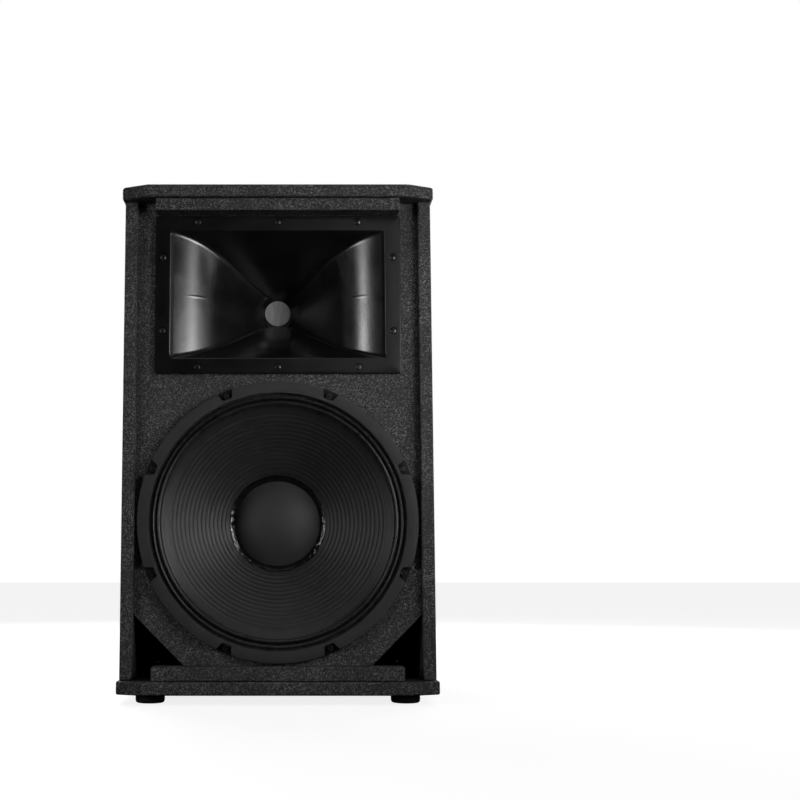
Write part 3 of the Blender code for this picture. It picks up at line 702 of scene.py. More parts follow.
def cap_boards():
    """Top and bottom boards, the bottom one with the pole socket's hole."""
    painted("top_panel", prism_bmesh(cap_outline(), TOP_LOW.z, TOP_HIGH.z), 0.0034, 4)
    hole = pin_bmesh(0.023, BOTTOM_LOW.z - 0.01, BOTTOM_HIGH.z + 0.01, 48)
    bm = carved(prism_bmesh(cap_outline(), BOTTOM_LOW.z, BOTTOM_HIGH.z), hole)
    painted("bottom_panel", bm, 0.0034, 4)


def batten(name, rounded):
    """A batten, whose two upper corners may be rounded in its front view."""
    low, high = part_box(name)
    outline = [(-high.x, low.z), (high.x, low.z), (high.x, high.z), (-high.x, high.z)]
    made = []
    for index, point in enumerate(outline):
        if rounded and point[1] == high.z:
            made += eased(outline[index - 1], point, outline[(index + 1) % 4], 0.0035, 5)
        else:
            made.append(point)
    bm = rings_bmesh([[(x, y, z) for x, z in made] for y in (low.y, high.y)], caps=True)
    painted(name, bm, 0.0018, 3)


def boards():
    cap_boards()
    batten("top_grille_batten", False)
    batten("bottom_grille_batten", True)
    dress(PAINT, "left_side_panel", "right_side_panel", "back_panel", "front_baffle", "left_port_board",
          "right_port_board")
    dress(PLYWOOD, "cross_brace")


# Horn

def horn_half_width(depth):
    cone = THROAT_RADIUS + SIDE_SLOPE * (THROAT_DEPTH - depth)
    flare = MOUTH_HALF[0] - THROAT_RADIUS - SIDE_SLOPE * THROAT_DEPTH
    fade = (1 - depth / THROAT_DEPTH) * math.exp(-depth / MOUTH_FLARE_LENGTH)
    return cone + flare * fade


def horn_half_height(depth):
    return THROAT_RADIUS + (MOUTH_HALF[1] - THROAT_RADIUS) * (1 - depth / THROAT_DEPTH)


def horn_corner(depth):
    return MOUTH_CORNER + (THROAT_RADIUS - MOUTH_CORNER) * (depth / THROAT_DEPTH) ** 4


def mould_rise(depth, wall):
    """Height of the mould line: only on the inner face, from behind the mouth to the waist."""
    if wall or not MOULD_START < depth < MOULD_END:
        return 0.0
    return 0.0003 * math.sin(math.pi * (depth - MOULD_START) / (MOULD_END - MOULD_START))


def horn_ring(depth, wall=0.0):
    """One section of the horn. Its straight sides carry points for the mould line at mid height."""
    half_x = horn_half_width(depth) + wall
    half_y = horn_half_height(depth) + wall
    return sectioned(half_x, half_y, horn_corner(depth) + wall, -depth - wall, mould_rise(depth, wall))


def sectioned(half_x, half_y, radius, height, rise=0.0):
    """A rounded rectangle with extra points about the middle of its two upright sides."""
    corner_steps = 9
    points = rounded_ring(half_x, half_y, radius, height, corner_steps)
    near = min(1.0, (half_y - radius) / 0.008)
    marks = [mark * near for mark in (-0.0060, -0.0030, -0.0012, -0.0004, 0.0004, 0.0012, 0.0030, 0.0060)]
    lifts = (0.0, 0.0, 0.0, rise, rise, 0.0, 0.0, 0.0)
    right = [(half_x - lift, mark, height) for mark, lift in zip(marks, lifts)]
    left = [(-x, -y, z) for x, y, z in right]
    upper = 2 * (corner_steps + 1)
    return right + points[:upper] + left + points[upper:]


def horn_body():
    """Flared shell from the driver's mounting flange to a square mouth, with its screwed front flange."""
    lip_depth = 0.0012
    depths = [lip_depth + (THROAT_DEPTH - lip_depth) * t ** 1.5 for t in spaced(0, 1, 44)]
    rings = [horn_ring(depth) for depth in reversed(depths)]
    for out, down in ((0.0002, 0.0006), (0.0005, 0.00025), (0.0011, 0.00006), (0.0020, 0.0)):
        rings.append(sectioned(MOUTH_HALF[0] + out, MOUTH_HALF[1] + out, MOUTH_CORNER + out, -down))
    for inset, down in ((0.0012, 0.0), (0.0005, 0.00015), (0.00015, 0.0005), (0.0, 0.0012),
                        (0.0, FLANGE_THICKNESS)):
        rings.append(sectioned(FLANGE_HALF[0] - inset, FLANGE_HALF[1] - inset, 0.0025 - inset * 0.5, -down))
    rings += [horn_ring(depth, HORN_WALL) for depth in [0.0] + depths[::3][:-2]]
    boss = THROAT_DEPTH - 0.008
    for size, depth in ((THROAT_RADIUS + 2 * HORN_WALL, boss), (0.0442, boss), (0.045, boss + 0.0008),
                        (0.045, THROAT_DEPTH)):
        rings.append(sectioned(size, size, size, -depth))
    seats = copies(pin_bmesh(0.0055, SCREW_SEAT, 0.001, 28), [turn_at(x, y, 0) for x, y in HORN_SCREWS])
    bm = carved(rings_bmesh(rings, wrap=True), seats)
    as_piece("horn_body", bm, HORN_PLASTIC, replaces=["horn_flare"], place=HORN,
             sharp=32)
    screws("horn_screws", HORN_SCREWS, SCREW_SEAT, 0.0042, 0.0023, 0.4, 0.9, HORN)
    dress(FOAM, "horn_gasket")


def throat_screen():
    """Woven wires across the throat, with grey cloth behind them."""
    radius = 0.0202
    place = Matrix.Translation((0, middle("throat_screen").y, HORN_Z)) @ FORWARD
    count = 52
    pitch = 2 * radius / count
    wires = []
    for across in (False, True):
        for index in range(count + 1):
            offset = -radius + index * pitch
            reach = math.sqrt(max(radius ** 2 - offset ** 2, 0.0))
            if reach > pitch:
                wires.append(rings_bmesh(wire_rings(offset, reach, pitch, index, across), caps=True))
    as_piece("throat_screen_wires", merged(*wires), WIRE, replaces=["throat_screen"],
             place=place, sharp=60)
    as_piece("throat_screen_cloth", pin_bmesh(radius, -0.00034, -0.00024, 64), SCREEN_CLOTH,
             place=place)


def wire_rings(offset, reach, pitch, index, across):
    """Square sections along one wire, which passes over and under the wires that cross it."""
    half, thick = pitch * 0.27, 0.00007
    rings = []
    for along in spaced(-reach, reach, max(2, int(2 * reach / pitch))):
        lift = 0.00006 * math.cos(math.pi * (along / pitch + index + (1 if across else 0)))
        ring = []
        for side, up in ((-half, -thick), (half, -thick), (half, thick), (-half, thick)):
            point = (along, offset + side, lift + up) if across else (offset + side, along, lift + up)
            ring.append(point)
        rings.append(ring)
    return rings


# Woofer

def screw_angles():
    return [math.pi / SCREW_COUNT * (1 + 2 * index) for index in range(SCREW_COUNT)]


def notched_radius(angle, outer):
    """Outer radius of the gasket ring at an angle, with a trapezoid notch at every screw."""
    nearest = min(abs(math.remainder(angle - screw, 2 * math.pi)) for screw in screw_angles())
    floor = NOTCH_RADIUS / math.cos(nearest)
    across = NOTCH_RADIUS * math.tan(nearest)
    if across <= NOTCH_FLAT:
        return floor
    if across <= NOTCH_EASED:
        return floor + 0.5 * (across - NOTCH_FLAT) ** 2 / (NOTCH_EASED - NOTCH_FLAT)
    side = NOTCH_RADIUS + 0.0006 + (across - NOTCH_EASED) * (outer - NOTCH_RADIUS) / 0.0043
    return min(side / math.cos(nearest), outer)


def ring_angles():
    """Even steps round the ring, with close ones through each notch."""
    angles = set()
    near, step_angle, far_steps = 18, 0.0042, 40
    edge = near * step_angle
    for screw in screw_angles():
        for step in range(-near, near + 1):
            angles.add(round(screw + step * step_angle, 6))
        for angle in spaced(edge, 2 * math.pi / SCREW_COUNT - edge, far_steps)[1:-1]:
            angles.add(round(screw + angle, 6))
    return sorted(angles)


def ring_profile(angle):
    """Section of the gasket ring, with softened edges."""
    low, high, soft = RING_BACK, RING_FACE, 0.0006
    outer = notched_radius(angle, RING_OUTER)
    lap = min(LAP_RADIUS, (RING_INNER + outer) / 2)
    return [(RING_INNER + soft, low), (RING_INNER, low + soft), (RING_INNER, high - soft),
            (RING_INNER + soft * 0.3, high - soft * 0.3), (RING_INNER + soft, high), (lap - 0.0002, high),
            (lap + 0.0002, high), (outer - soft, high), (outer - soft * 0.3, high - soft * 0.3),
            (outer, high - soft), (outer, low + soft), (outer - soft, low)]


def gasket_ring():
    """Flat ring with softened edges, eight notches and the hairline lap joints between its segments."""
    rows = []
    for angle in ring_angles():
        rows.append([polar(radius, angle, height) for radius, height in ring_profile(angle)])
    slits = []
    for index in range(SCREW_COUNT):
        turn = Matrix.Rotation(math.pi / 2 + index * math.pi / 4, 4, "Z")
        for start, end, shift in ((LAP_RADIUS, RING_OUTER + 0.002, 0.0),
                                  (RING_INNER - 0.002, LAP_RADIUS, -0.0136)):
            slit = box_bmesh((start, shift - 0.00035, RING_FACE - 0.0012),
                             (end, shift + 0.00035, RING_FACE + 0.001))
            slit.transform(turn)
            slits.append(slit)
    bm = carved(rings_bmesh(rows, wrap=True), merged(*slits))
    as_piece("gasket_ring_segments", bm, RING_FIBRE, replaces=["woofer_gasket_ring"],
             place=WOOFER, sharp=35)


def woofer_screw_places(height, step=0.0):
    """Where the woofer's screws stand, each turned by a step more."""
    angles = enumerate(screw_angles(), start=1)
    return [turn_at(*polar(SCREW_CIRCLE, angle, height), index * step) for index, angle in angles]


def basket():
    """Cast frame: rim, conical wall with eight windows, spider ledge and magnet ring."""
    front = [(FRAME_RADIUS, 0.0030), (0.1800, 0.0030), (0.1800, 0.0008), (0.1700, 0.0008), (0.1680, -0.0100),
             (0.1430, -0.0640), (0.1100, -0.1060), (0.0880, -0.1060), (0.0860, -0.1110), (0.0600, -0.1110)]
    back = [(0.0600, PLATE_TOP + GAP), (0.1120, PLATE_TOP + GAP), (0.1180, -0.1060), (0.1490, -0.0670),
            (0.1745, -0.0100), (0.1755, GAP), (FRAME_RADIUS, GAP)]
    bm = turned_bmesh(softened(front + back, 0.0008, 2), 128)
    corners = softened([(0.105, -0.028), (0.205, -0.028), (0.205, 0.028), (0.105, 0.028)], 0.010, 4)
    window = prism_bmesh([(y, x) for x, y in corners], -0.091, -0.025)
    turns = [turn_at(0, 0, 0, index * math.pi / 4 - math.pi / 2) for index in range(SCREW_COUNT)]
    bm = carved(bm, copies(window, turns))
    bm = carved(bm, copies(pin_bmesh(0.0030, -0.01, 0.01, 20), woofer_screw_places(0)))
    as_piece("woofer_basket", bm, POWDER_COAT, replaces=["woofer_frame"], place=WOOFER)


def socket_head():
    """A socket-head screw with a hexagonal hole."""
    cap = [(0, 0), (0.0038, 0), (0.0038, 0.0034), (0.0034, 0.0038), (0, 0.0038)]
    key = [polar(0.0021, turn * math.pi / 3) for turn in range(6)]
    return carved(turned_bmesh(cap, 32), prism_bmesh(key, 0.0014, 0.0060))


def woofer_screws():
    for index, place in enumerate(woofer_screw_places(0.0036, 0.7), start=1):
        as_piece(f"woofer_screw_head_{index}", socket_head(), SCREW_METAL,
                 replaces=[f"woofer_screw_{index}"], place=WOOFER @ place)


def cone_height(radius):
    return CONE_EDGE - CONE_SLOPE * (CONE_RADIUS - radius)


def rib_height(radius):
    """Pressed concentric ribs between the smooth band at the edge and the glue at the dust cap."""
    place = (radius - RIB_START) / RIB_PITCH
    if not -0.5 < place < RIB_COUNT - 0.5:
        return 0.0
    crest = max(0.0, math.cos(2 * math.pi * place))
    return 0.00085 * crest ** 0.8 - 0.00015


def cone():
    """Ribbed paper cone, thickened by its paper."""
    edge = CONE_RADIUS + 0.002
    front = []
    radius = CONE_NECK
    while radius < edge:
        front.append((radius, cone_height(radius) + rib_height(radius)))
        radius += RIB_PITCH / 10
    back = [(radius, cone_height(radius) - 0.0013) for radius in (edge, 0.125, 0.090, CONE_NECK)]
    as_piece("ribbed_cone", turned_bmesh(front + back, 192), PAPER, body=CONE_BODY,
             replaces=["woofer_cone"], place=WOOFER, sharp=60)


def surround_height(radius):
    """Two rolls between the flat foot under the gasket ring and the foot glued on the cone."""
    if radius < ROLLS_START:
        return cone_height(radius) + 0.0004
    if radius > ROLLS_END:
        return 0.0014
    place = 2 * (radius - ROLLS_START) / (ROLLS_END - ROLLS_START)
    inner_roll = place < 1
    share = place if inner_roll else place - 1
    start, end, crest = (-0.0030, -0.0036, 0.0017) if inner_roll else (-0.0036, 0.0011, 0.0031)
    valley = start + (end - start) * share
    return valley + (crest - valley) * math.sin(math.pi * share) ** 0.7


def surround():
    """Pleated cloth from the frame to the cone. The inner edge follows the cone, the outer one the frame."""
    front = [(radius, surround_height(radius)) for radius in spaced(0.1578, 0.1793, 86)]
    obj = as_piece("pleated_surround", turned_bmesh(thickened(front, 0.0005), 160), CLOTH, body=None,
                   replaces=["woofer_surround"], place=WOOFER, sharp=60)
    flexing(obj)


def flexing(obj):
    """Bakes a round soft piece's placement into its mesh, leaving it on no body."""
    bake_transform(obj)


def glue_section(x, y):
    """Section of the glue bead towards (x, y): uneven in place, width and height, with fine strands."""
    wander = noise.noise(Vector((x * 3.1, y * 3.1, 2.0)))
    ripple = noise.noise(Vector((x * 9, y * 9, 7.0)))
    centre = 0.0647 + 0.0006 * wander
    half = 0.0046 + 0.0008 * wander + 0.0005 * ripple
    sides = 22
    section = []
    for side in range(sides):
        turn = 2 * math.pi * side / sides
        radius = centre + half * math.cos(turn)
        strand = noise.noise(Vector((x * 7, y * 7, radius * 1500)))
        rise = 0.0019 + 0.0004 * ripple + 0.0007 * strand if math.sin(turn) > 0 else 0.0009
        section.append((radius * x, radius * y, cone_height(radius) + 0.0004 + rise * math.sin(turn)))
    return section


def glue_bead():
    """An uneven glossy bead, brushed round by hand, where the dust cap meets the cone."""
    steps = 360
    rings = [glue_section(*polar(1, 2 * math.pi * step / steps)) for step in range(steps)]
    as_piece("dust_cap_glue", rings_bmesh(rings, wrap=True), GLUE, body=CONE_BODY, place=WOOFER, sharp=80)


def dust_cap():
    """A domed cap with a slight roll at its foot."""
    foot = cone_height(CAP_RADIUS) + 0.0010
    sphere = (CAP_RADIUS ** 2 + CAP_RISE ** 2) / (2 * CAP_RISE)
    centre = foot + CAP_RISE - sphere
    angles = spaced(0, math.asin(CAP_RADIUS / sphere), 40)
    front = [(sphere * math.sin(angle), centre + sphere * math.cos(angle)) for angle in angles]
    front.append((CAP_RADIUS + 0.0008, foot - 0.0004))
    back = [(radius * 0.985, height - 0.0008) for radius, height in reversed(front)]
    as_piece("domed_dust_cap", turned_bmesh(front + back, 160), FELT, body=CONE_BODY,
             replaces=["woofer_dust_cap"], place=WOOFER, sharp=60)


def voice_coil():
    """Former with fourteen turns of wire."""
    inner, outer = 0.0500, 0.0512
    coil = [(0.0492, -0.0965), (inner, -0.0965), (inner, -0.1130)]
    for turn in range(14):
        height = -0.1130 - turn * 0.001
        coil += [(inner, height), (outer, height - 0.0003), (outer, height - 0.0007), (inner, height - 0.001)]
    coil += [(inner, -0.1330), (0.0492, -0.1330)]
    as_piece("voice_coil_winding", turned_bmesh(coil, 96), WINDING, body=CONE_BODY,
             replaces=["woofer_voice_coil"], place=WOOFER)


def woofer_motor():
    """Coil, spider, plates, magnet and yoke, behind the cone."""
    voice_coil()
    front = []
    for t in spaced(0, 1, 80):
        wave = math.sin(math.pi * t) ** 0.3 * math.sin(12 * math.pi * t)
        front.append((0.0504 + 0.0486 * t, -0.10485 + 0.0012 * wave))
    spider = as_piece("corrugated_spider", turned_bmesh(thickened(front, 0.0004), 96), SPIDER_CLOTH,
                      body=None, replaces=["woofer_spider"], place=WOOFER, sharp=60)
    flexing(spider)
    dress(STEEL, "woofer_front_plate", "woofer_yoke")
    dress(FERRITE, "woofer_magnet")
    dress(MOULDED, "woofer_terminal")


def horn_driver():
    """Parts of the compression driver, behind the horn."""
    dress(STEEL, "driver_pole_plate", "driver_top_plate")
    dress(MOULDED, "driver_phase_plug", "driver_rear_cover", "driver_terminal")
    dress(FERRITE, "driver_magnet")
    dress(TITANIUM, "driver_diaphragm")
    place = Matrix.Translation((0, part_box("driver_suspension")[0].y, HORN_Z)) @ BACKWARD
    front = [(0.0386 + 0.0114 * t, 0.0002 + 0.00018 * math.sin(5 * math.pi * t)) for t in spaced(0, 1, 40)]
    ring = as_piece("diaphragm_suspension", turned_bmesh(thickened(front, 0.00015), 96), CLOTH, body=None,
                    replaces=["driver_suspension"], place=place, sharp=60)
    flexing(ring)


# Feet, socket, handles and input dish

def foot(name):
    """A moulded foot with a softened rim and a screw deep in its middle."""
    low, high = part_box(name)
    centre = (low + high) / 2
    radius = (high.x - low.x) / 2
    seat = 0.0055
    profile = [(0, seat), (0.0042, seat), (0.0048, 0.0050), (0.0048, 0.0016), (0.0058, 0.0008), (0.0080, 0.0),
               (0.0150, 0.0), (radius - 0.0028, 0.0003), (radius - 0.0010, 0.0014), (radius - 0.0002, 0.0032),
               (radius, 0.0060), (radius, high.z - 0.0010), (radius - 0.0006, high.z), (0, high.z)]
    as_piece(name + "_moulded", turned_bmesh(profile, 64), RUBBER, replaces=[name],
             place=Matrix.Translation((centre.x, centre.y, 0)))
    turn = Matrix.Translation((centre.x, centre.y, seat)) @ Matrix.Rotation(math.pi, 4, "X")
    as_piece(name + "_screw", screw_bmesh(0.0040, 0.0022), STEEL, place=turn)


def pole_socket():
    """Flanged cup in the bottom board, with four screws."""
    low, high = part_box("pole_socket")
    face, back, top = low.z, low.z + 0.003, high.z
    profile = [(0, top - 0.003), (0.0175, top - 0.003), (0.0180, top - 0.0035), (0.0180, face + 0.0015),
               (0.0192, face), (0.0425, face), (0.0445, face + 0.0008), (0.045, face + 0.0018), (0.045, back),
               (0.021, back), (0.021, top - 0.0006), (0.0204, top), (0, top)]
    as_piece("pole_cup", turned_bmesh(profile, 96), MOULDED, replaces=["pole_socket"])
    places = []
    for index in range(4):
        place = Matrix.Translation(polar(0.034, math.pi / 4 + index * math.pi / 2, face + 0.0002))
        places.append(place @ Matrix.Rotation(math.pi, 4, "X"))
    as_piece("pole_cup_screws", copies(screw_bmesh(0.0040, 0.0020), places), BLACK_OXIDE)


def grip_bar(drop):
    """Ribbed bar across the handle's cup, wider at its ends."""
    rings = []
    for step, along in enumerate(spaced(-0.0708, 0.0708, 64)):
        end = max(0.0, (abs(along) - 0.056) / 0.015)
        groove = 0.0005 if abs(along) < 0.046 and step % 3 == 0 else 0.0
        half_x, half_z = 0.0102 - groove + 0.003 * end, 0.0088 - groove + 0.0022 * end
        ring = []
        for turn in range(28):
            x, z = polar(1, 2 * math.pi * turn / 28)
            ring.append((drop + half_x * x, along, -0.0120 + half_z * z))
        rings.append(ring)
    return rings_bmesh(rings, caps=True)


def cup_bmesh(corner_steps, *sections):
    """A closed shell through rounded rectangles of (half x, half y, corner radius, height)."""
    return rings_bmesh([rounded_ring(*section, corner_steps) for section in sections], caps=True)


def handle(name, side):
    """Recessed cup with rounded lips and a ribbed grip bar. Local +Z points out of the cabinet."""
    place = Matrix.Translation((side * SIDE_HIGH.x, HANDLE.y, HANDLE.z))
    place = place @ Matrix.Rotation(side * math.pi / 2, 4, "Y")
    face = 0.0026
    cup = cup_bmesh(10, (0.0300, 0.0540, 0.010, -0.0458), (0.0360, 0.0600, 0.012, -0.0450),
                    (0.0383, 0.0623, 0.0125, -0.0425), (0.0400, 0.0642, 0.0130, -0.0300),
                    (0.0425, 0.0670, 0.0135, -0.0150), (0.0443, 0.0690, 0.0138, -0.0030),
                    (0.0452, 0.0700, 0.0142, 0.0005), (0.0470, 0.0718, 0.0150, face),
                    (0.0565, 0.0835, 0.0135, face), (0.0577, 0.0847, 0.0140, face - 0.0006),
                    (0.058, 0.085, 0.014, GAP + 0.0004), (0.058, 0.085, 0.014, GAP),
                    (0.048, 0.073, 0.016, GAP), (0.0405, 0.0645, 0.014, -0.0485))
    bm = carved(cup, grip_bar(-side * 0.018), "UNION")
    as_piece(name + "_moulded", bm, MOULDED, replaces=[name], place=place, sharp=34)
    spots = [(0.0512, 0.0), (-0.0512, 0.0), (0.047, 0.0755), (-0.047, 0.0755), (0.047, -0.0755),
             (-0.047, -0.0755)]
    screws(name + "_screws", spots, face - 0.0001, 0.0036, 0.0019, 0.3, 1, place)


def input_dish():
    """Recessed plate in the back with rounded lips, its screws, and two speaker sockets."""
    face = 0.0028
    cup = cup_bmesh(8, (0.0440, 0.0290, 0.004, -0.0300), (0.0490, 0.0330, 0.006, -0.0298),
                    (0.0502, 0.0342, 0.0065, -0.0285), (0.0520, 0.0360, 0.0070, -0.0150),
                    (0.0545, 0.0385, 0.0080, -0.0008), (0.0556, 0.0396, 0.0090, 0.0018),
                    (0.0572, 0.0412, 0.0100, face), (0.0735, 0.0535, 0.0060, face),
                    (0.0747, 0.0547, 0.0063, face - 0.0006), (0.075, 0.055, 0.006, GAP + 0.0005),
                    (0.075, 0.055, 0.006, GAP), (0.058, 0.042, 0.010, GAP), (0.053, 0.037, 0.008, -0.0325))
    across = (-0.024, 0.024)
    holes = copies(pin_bmesh(0.0125, -0.040, -0.020, 48), [turn_at(x, 0, 0) for x in across])
    as_piece("input_dish_moulded", carved(cup, holes), MOULDED,
             replaces=["input_dish"], place=DISH)
    spots = [(-0.066, -0.046), (0.0, -0.0475), (0.066, -0.046), (-0.066, 0.046), (0.0, 0.0475),
             (0.066, 0.046)]
    screws("input_dish_screws", spots, face - 0.0001, 0.0037, 0.0020, 0.5, 1, DISH)
    for index, x in enumerate(across, start=1):
        speaker_socket(f"speaker_socket_{index}", DISH @ Matrix.Translation((x, 0, 0)))


def speaker_socket(name, place):
    """Round 4-pole socket: rim, keyed bore, centre post and four contacts."""
    body = [(0, -0.046), (0.0105, -0.046), (0.0105, -0.0285), (0.0112, -0.0272), (0.0135, -0.0268),
            (0.0150, -0.0272), (0.0155, -0.0282), (0.0155, -0.0297), (0.0120, -0.0297), (0.0120, -0.052),
            (0, -0.052)]
    key = box_bmesh((-0.0012, 0.0088, -0.0455), (0.0012, 0.0108, -0.0290))
    keys = copies(key, [turn_at(0, 0, 0), turn_at(0, 0, 0, math.pi)])
    as_piece(name + "_body", carved(turned_bmesh(body, 64), keys, "UNION"), SOCKET_PLASTIC,
             replaces=[name], place=place)
    post = [(0, -0.0462), (0.0052, -0.0462), (0.0052, -0.0325), (0.0044, -0.0315), (0.0020, -0.0315),
            (0.0020, -0.0380), (0, -0.0380)]
    as_piece(name + "_post", turned_bmesh(post, 40), SOCKET_PLASTIC, place=place)
    contact = box_bmesh((0.0052, -0.0012, -0.0450), (0.0058, 0.0012, -0.0340))
    turns = [turn_at(0, 0, 0, math.pi / 4 + step * math.pi / 2) for step in range(4)]
    as_piece(name + "_contacts", copies(contact, turns), BRASS, place=place)


# Inside the cabinet

def wadding():
    """A lofted pad of polyester fibre, stapled to the back panel."""
    low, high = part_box("damping_wadding")
    columns, rows = 60, 46
    thickness = high.y - low.y
    bm = bmesh.new()
    front, back = [], []
    for v in spaced(0, 1, rows):
        front.append([])
        back.append([])
        for u in spaced(0, 1, columns):
            x = low.x + (high.x - low.x) * u
            z = low.z + (high.z - low.z) * v
            loft = min(1.0, max(0.0, min(u, 1 - u, v, 1 - v)) / 0.06) ** 0.5
            puff = 0.5 + 0.5 * noise.noise(Vector((x * 22, 4.0, z * 22)))
            depth = thickness * (0.25 + 0.75 * loft * (0.72 + 0.28 * puff))
            front[-1].append(bm.verts.new((x, high.y - depth, z)))
            back[-1].append(bm.verts.new((x, high.y, z)))
    for side in (front, back):
        for near, far in zip(side, side[1:]):
            for index in range(columns):
                bm.faces.new((near[index], near[index + 1], far[index + 1], far[index]))
    front_rim, back_rim = rim_of(front), rim_of(back)
    for index in range(len(front_rim)):
        bm.faces.new((front_rim[index - 1], front_rim[index], back_rim[index], back_rim[index - 1]))
    pad = as_piece("wadding_pad", bm, WADDING, replaces=["damping_wadding"], sharp=70)


def rim_of(grid):
    """The outer vertices of a grid, in order round it."""
    right = [line[-1] for line in grid[1:-1]]
    left = [line[0] for line in grid[-2:0:-1]]
    return grid[0] + right + grid[-1][::-1] + left


def crossover_coil(name):
    """A ridged winding on an open core."""
    low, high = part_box(name)
    outer = (high.x - low.x) / 2
    inner = 0.012 if outer > 0.025 else 0.008
    depth = high.y - low.y
    steps = 48
    profile = []
    for step, height in enumerate(spaced(0, depth, steps)):
        profile.append((outer - 0.0004 * (1 + math.cos(math.pi * step / 2)), height))
    profile += [(inner, depth), (inner, 0.0)]
    place = Matrix.Translation((middle(name).x, high.y, middle(name).z)) @ FORWARD
    as_piece(name + "_winding", turned_bmesh(profile, 72), WINDING, replaces=[name],
             place=place)


def crossover():
    dress(CIRCUIT, "crossover_board")
    dress(FILM_CAN, "crossover_capacitor")
    crossover_coil("crossover_woofer_coil")
    crossover_coil("crossover_horn_coil")


def smooth_route(knots, count):
    """Points along a smooth curve through the knots."""
    knots = [Vector(knot) for knot in knots]
    padded = [2 * knots[0] - knots[1]] + knots + [2 * knots[-1] - knots[-2]]
    spans = len(knots) - 1
    points = []
    for place in spaced(0, spans, count - 1):
        span = min(int(place), spans - 1)
        t = place - span
        before, start, end, after = padded[span:span + 4]
        square = (2 * before - 5 * start + 4 * end - after) * t ** 2
        cube = (3 * start - before - 3 * end + after) * t ** 3
        points.append(0.5 * (2 * start + (end - before) * t + square + cube))
    return points


def lead(name, count, *knots):
    """An insulated twin lead between two terminals."""
    points = smooth_route(knots, count)
    curve = bpy.data.curves.new(name + "_sheath", "CURVE")
    curve.dimensions = "3D"
    curve.bevel_depth = 0.0025
    curve.bevel_resolution = 5
    curve.use_fill_caps = True
    spline = curve.splines.new("POLY")
    spline.points.add(len(points) - 1)
    for target, point in zip(spline.points, points):
        target.co = (*point, 1.0)
    curve.materials.append(LEAD)
    obj = linked(name + "_sheath", curve)
    settle(obj, CABINET, [name])


def leads():
    board = 0.1797
    on_brace = 0.3728
    lead("input_lead", 60, (-0.024, 0.1591, 0.150), (-0.024, 0.147, 0.151), (-0.023, 0.136, 0.158),
         (-0.021, 0.131, 0.175), (-0.018, 0.134, 0.198), (-0.015, 0.143, 0.222), (-0.012, 0.155, 0.245),
         (-0.010, 0.167, 0.259), (-0.010, board, 0.262))
    lead("woofer_lead", 100, (0.045, board, 0.348), (0.045, 0.165, 0.3475), (0.044, 0.145, 0.352),
         (0.042, 0.127, 0.3670), (0.039, 0.112, 0.3745), (0.035, 0.096, on_brace + GAP),
         (0.028, 0.076, on_brace), (0.019, 0.057, on_brace), (0.011, 0.040, on_brace), (0.007, 0.027, 0.3733),
         (0.004, 0.012, 0.3690), (0.001, -0.004, 0.3620), (0.000, -0.020, 0.3560), (0.000, -0.036, 0.3543),
         (0.000, -0.0549, 0.3543))
    lead("driver_lead", 110, (-0.015, board, 0.351), (-0.015, 0.165, 0.3505), (-0.016, 0.145, 0.354),
         (-0.017, 0.128, 0.3670), (-0.018, 0.113, 0.3745), (-0.018, 0.098, on_brace + GAP),
         (-0.016, 0.082, on_brace), (-0.012, 0.068, 0.3750), (-0.006, 0.058, 0.385), (-0.002, 0.053, 0.405),
         (0.000, 0.051, 0.440), (0.000, 0.050, 0.480), (0.000, 0.048, 0.510), (0.000, 0.042, 0.526),
         (0.000, 0.0335, 0.5325), (0.000, 0.0240, 0.533))


# Studio

AMBIENT = 0.003
OVERHEAD = 0.6
WIDE = 180


def lamp(name, azimuth, elevation, distance, height, size, spread, power):
    """A rectangular lamp aimed at the cabinet's axis, placed by angles right of the front and up."""
    light = bpy.data.lights.new(name, "AREA")
    light.shape = "RECTANGLE"
    light.size, light.size_y = size
    light.energy = power
    light.spread = math.radians(spread)
    turn, rise = math.radians(azimuth), math.radians(elevation)
    way = Vector((math.sin(turn) * math.cos(rise), -math.cos(turn) * math.cos(rise), math.sin(rise)))
    obj = linked(name, light)
    obj.location = Vector((0.0, 0.0, height)) + way * distance
    obj.rotation_euler = (-way).to_track_quat("-Z", "Y").to_euler()


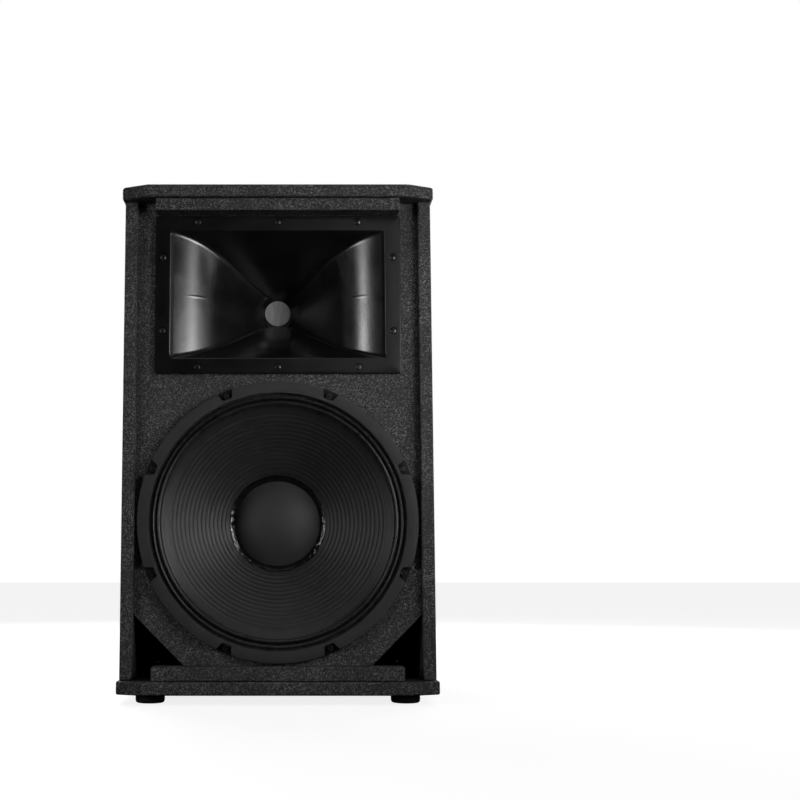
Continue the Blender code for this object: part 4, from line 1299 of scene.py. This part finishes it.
def lamps():
    lamp("right_strip", 53, 5, 2.4, 0.45, (0.50, 0.90), WIDE, 8.6)
    lamp("left_strip", -53, 5, 2.4, 0.45, (0.42, 0.90), WIDE, 15.5)
    lamp("front_soft", 14, 12, 2.3, 0.50, (0.8, 0.8), WIDE, 0.8)
    lamp("near_right", 42, 0, 1.25, 0.54, (0.5, 0.34), 75, 1.0)
    lamp("side_right", 56, 0, 0.95, 0.52, (0.5, 0.38), 90, 0.7)
    lamp("back_right", 205, 28, 2.6, 0.40, (1.6, 1.2), WIDE, 46)
    lamp("back_left", 150, 20, 2.6, 0.40, (1.2, 1.2), WIDE, 18)
    sun = bpy.data.lights.new("overhead", "SUN")
    sun.energy = OVERHEAD
    sun.angle = math.radians(60)
    linked("overhead", sun)


def surroundings():
    """White to look at, with hardly any light of its own."""
    world = bpy.data.worlds.new("studio")
    world.use_nodes = True
    tree = world.node_tree
    background = tree.nodes["Background"]
    path = tree.nodes.new("ShaderNodeLightPath")
    seen = tree.nodes.new("ShaderNodeMapRange")
    seen.inputs["To Min"].default_value = AMBIENT
    seen.inputs["To Max"].default_value = 1.0
    tree.links.new(path.outputs["Is Camera Ray"], seen.inputs["Value"])
    tree.links.new(seen.outputs["Result"], background.inputs["Strength"])
    background.inputs["Color"].default_value = (1.0, 1.0, 1.0, 1.0)
    bpy.context.scene.world = world
    bpy.context.scene.view_settings.view_transform = "Standard"


def studio_floor():
    bm = bmesh.new()
    bmesh.ops.create_grid(bm, x_segments=2, y_segments=2, size=30.0)
    floor = as_piece("studio_floor", bm, FLOOR, body=None)
    floor.visible_diffuse = False
    floor.visible_glossy = False


def camera():
    made = bpy.data.cameras.new("camera")
    made.sensor_width = 36.0
    made.lens = 58.29
    made.shift_x = 0.1527
    made.shift_y = 0.03
    made.clip_end = 50.0
    obj = linked("camera", made)
    obj.location = (0.0, TOP_LOW.y - 1.75, 0.172)
    obj.rotation_euler = (math.radians(96.67), 0.0, 0.0)
    bpy.context.scene.camera = obj


boards()
horn_body()
throat_screen()
gasket_ring()
basket()
woofer_screws()
cone()
surround()
glue_bead()
dust_cap()
woofer_motor()
horn_driver()
for corner in ("front_left_foot", "front_right_foot", "rear_left_foot", "rear_right_foot"):
    foot(corner)
pole_socket()
handle("left_handle", -1)
handle("right_handle", 1)
input_dish()
wadding()
crossover()
leads()
lamps()
surroundings()
studio_floor()
camera()
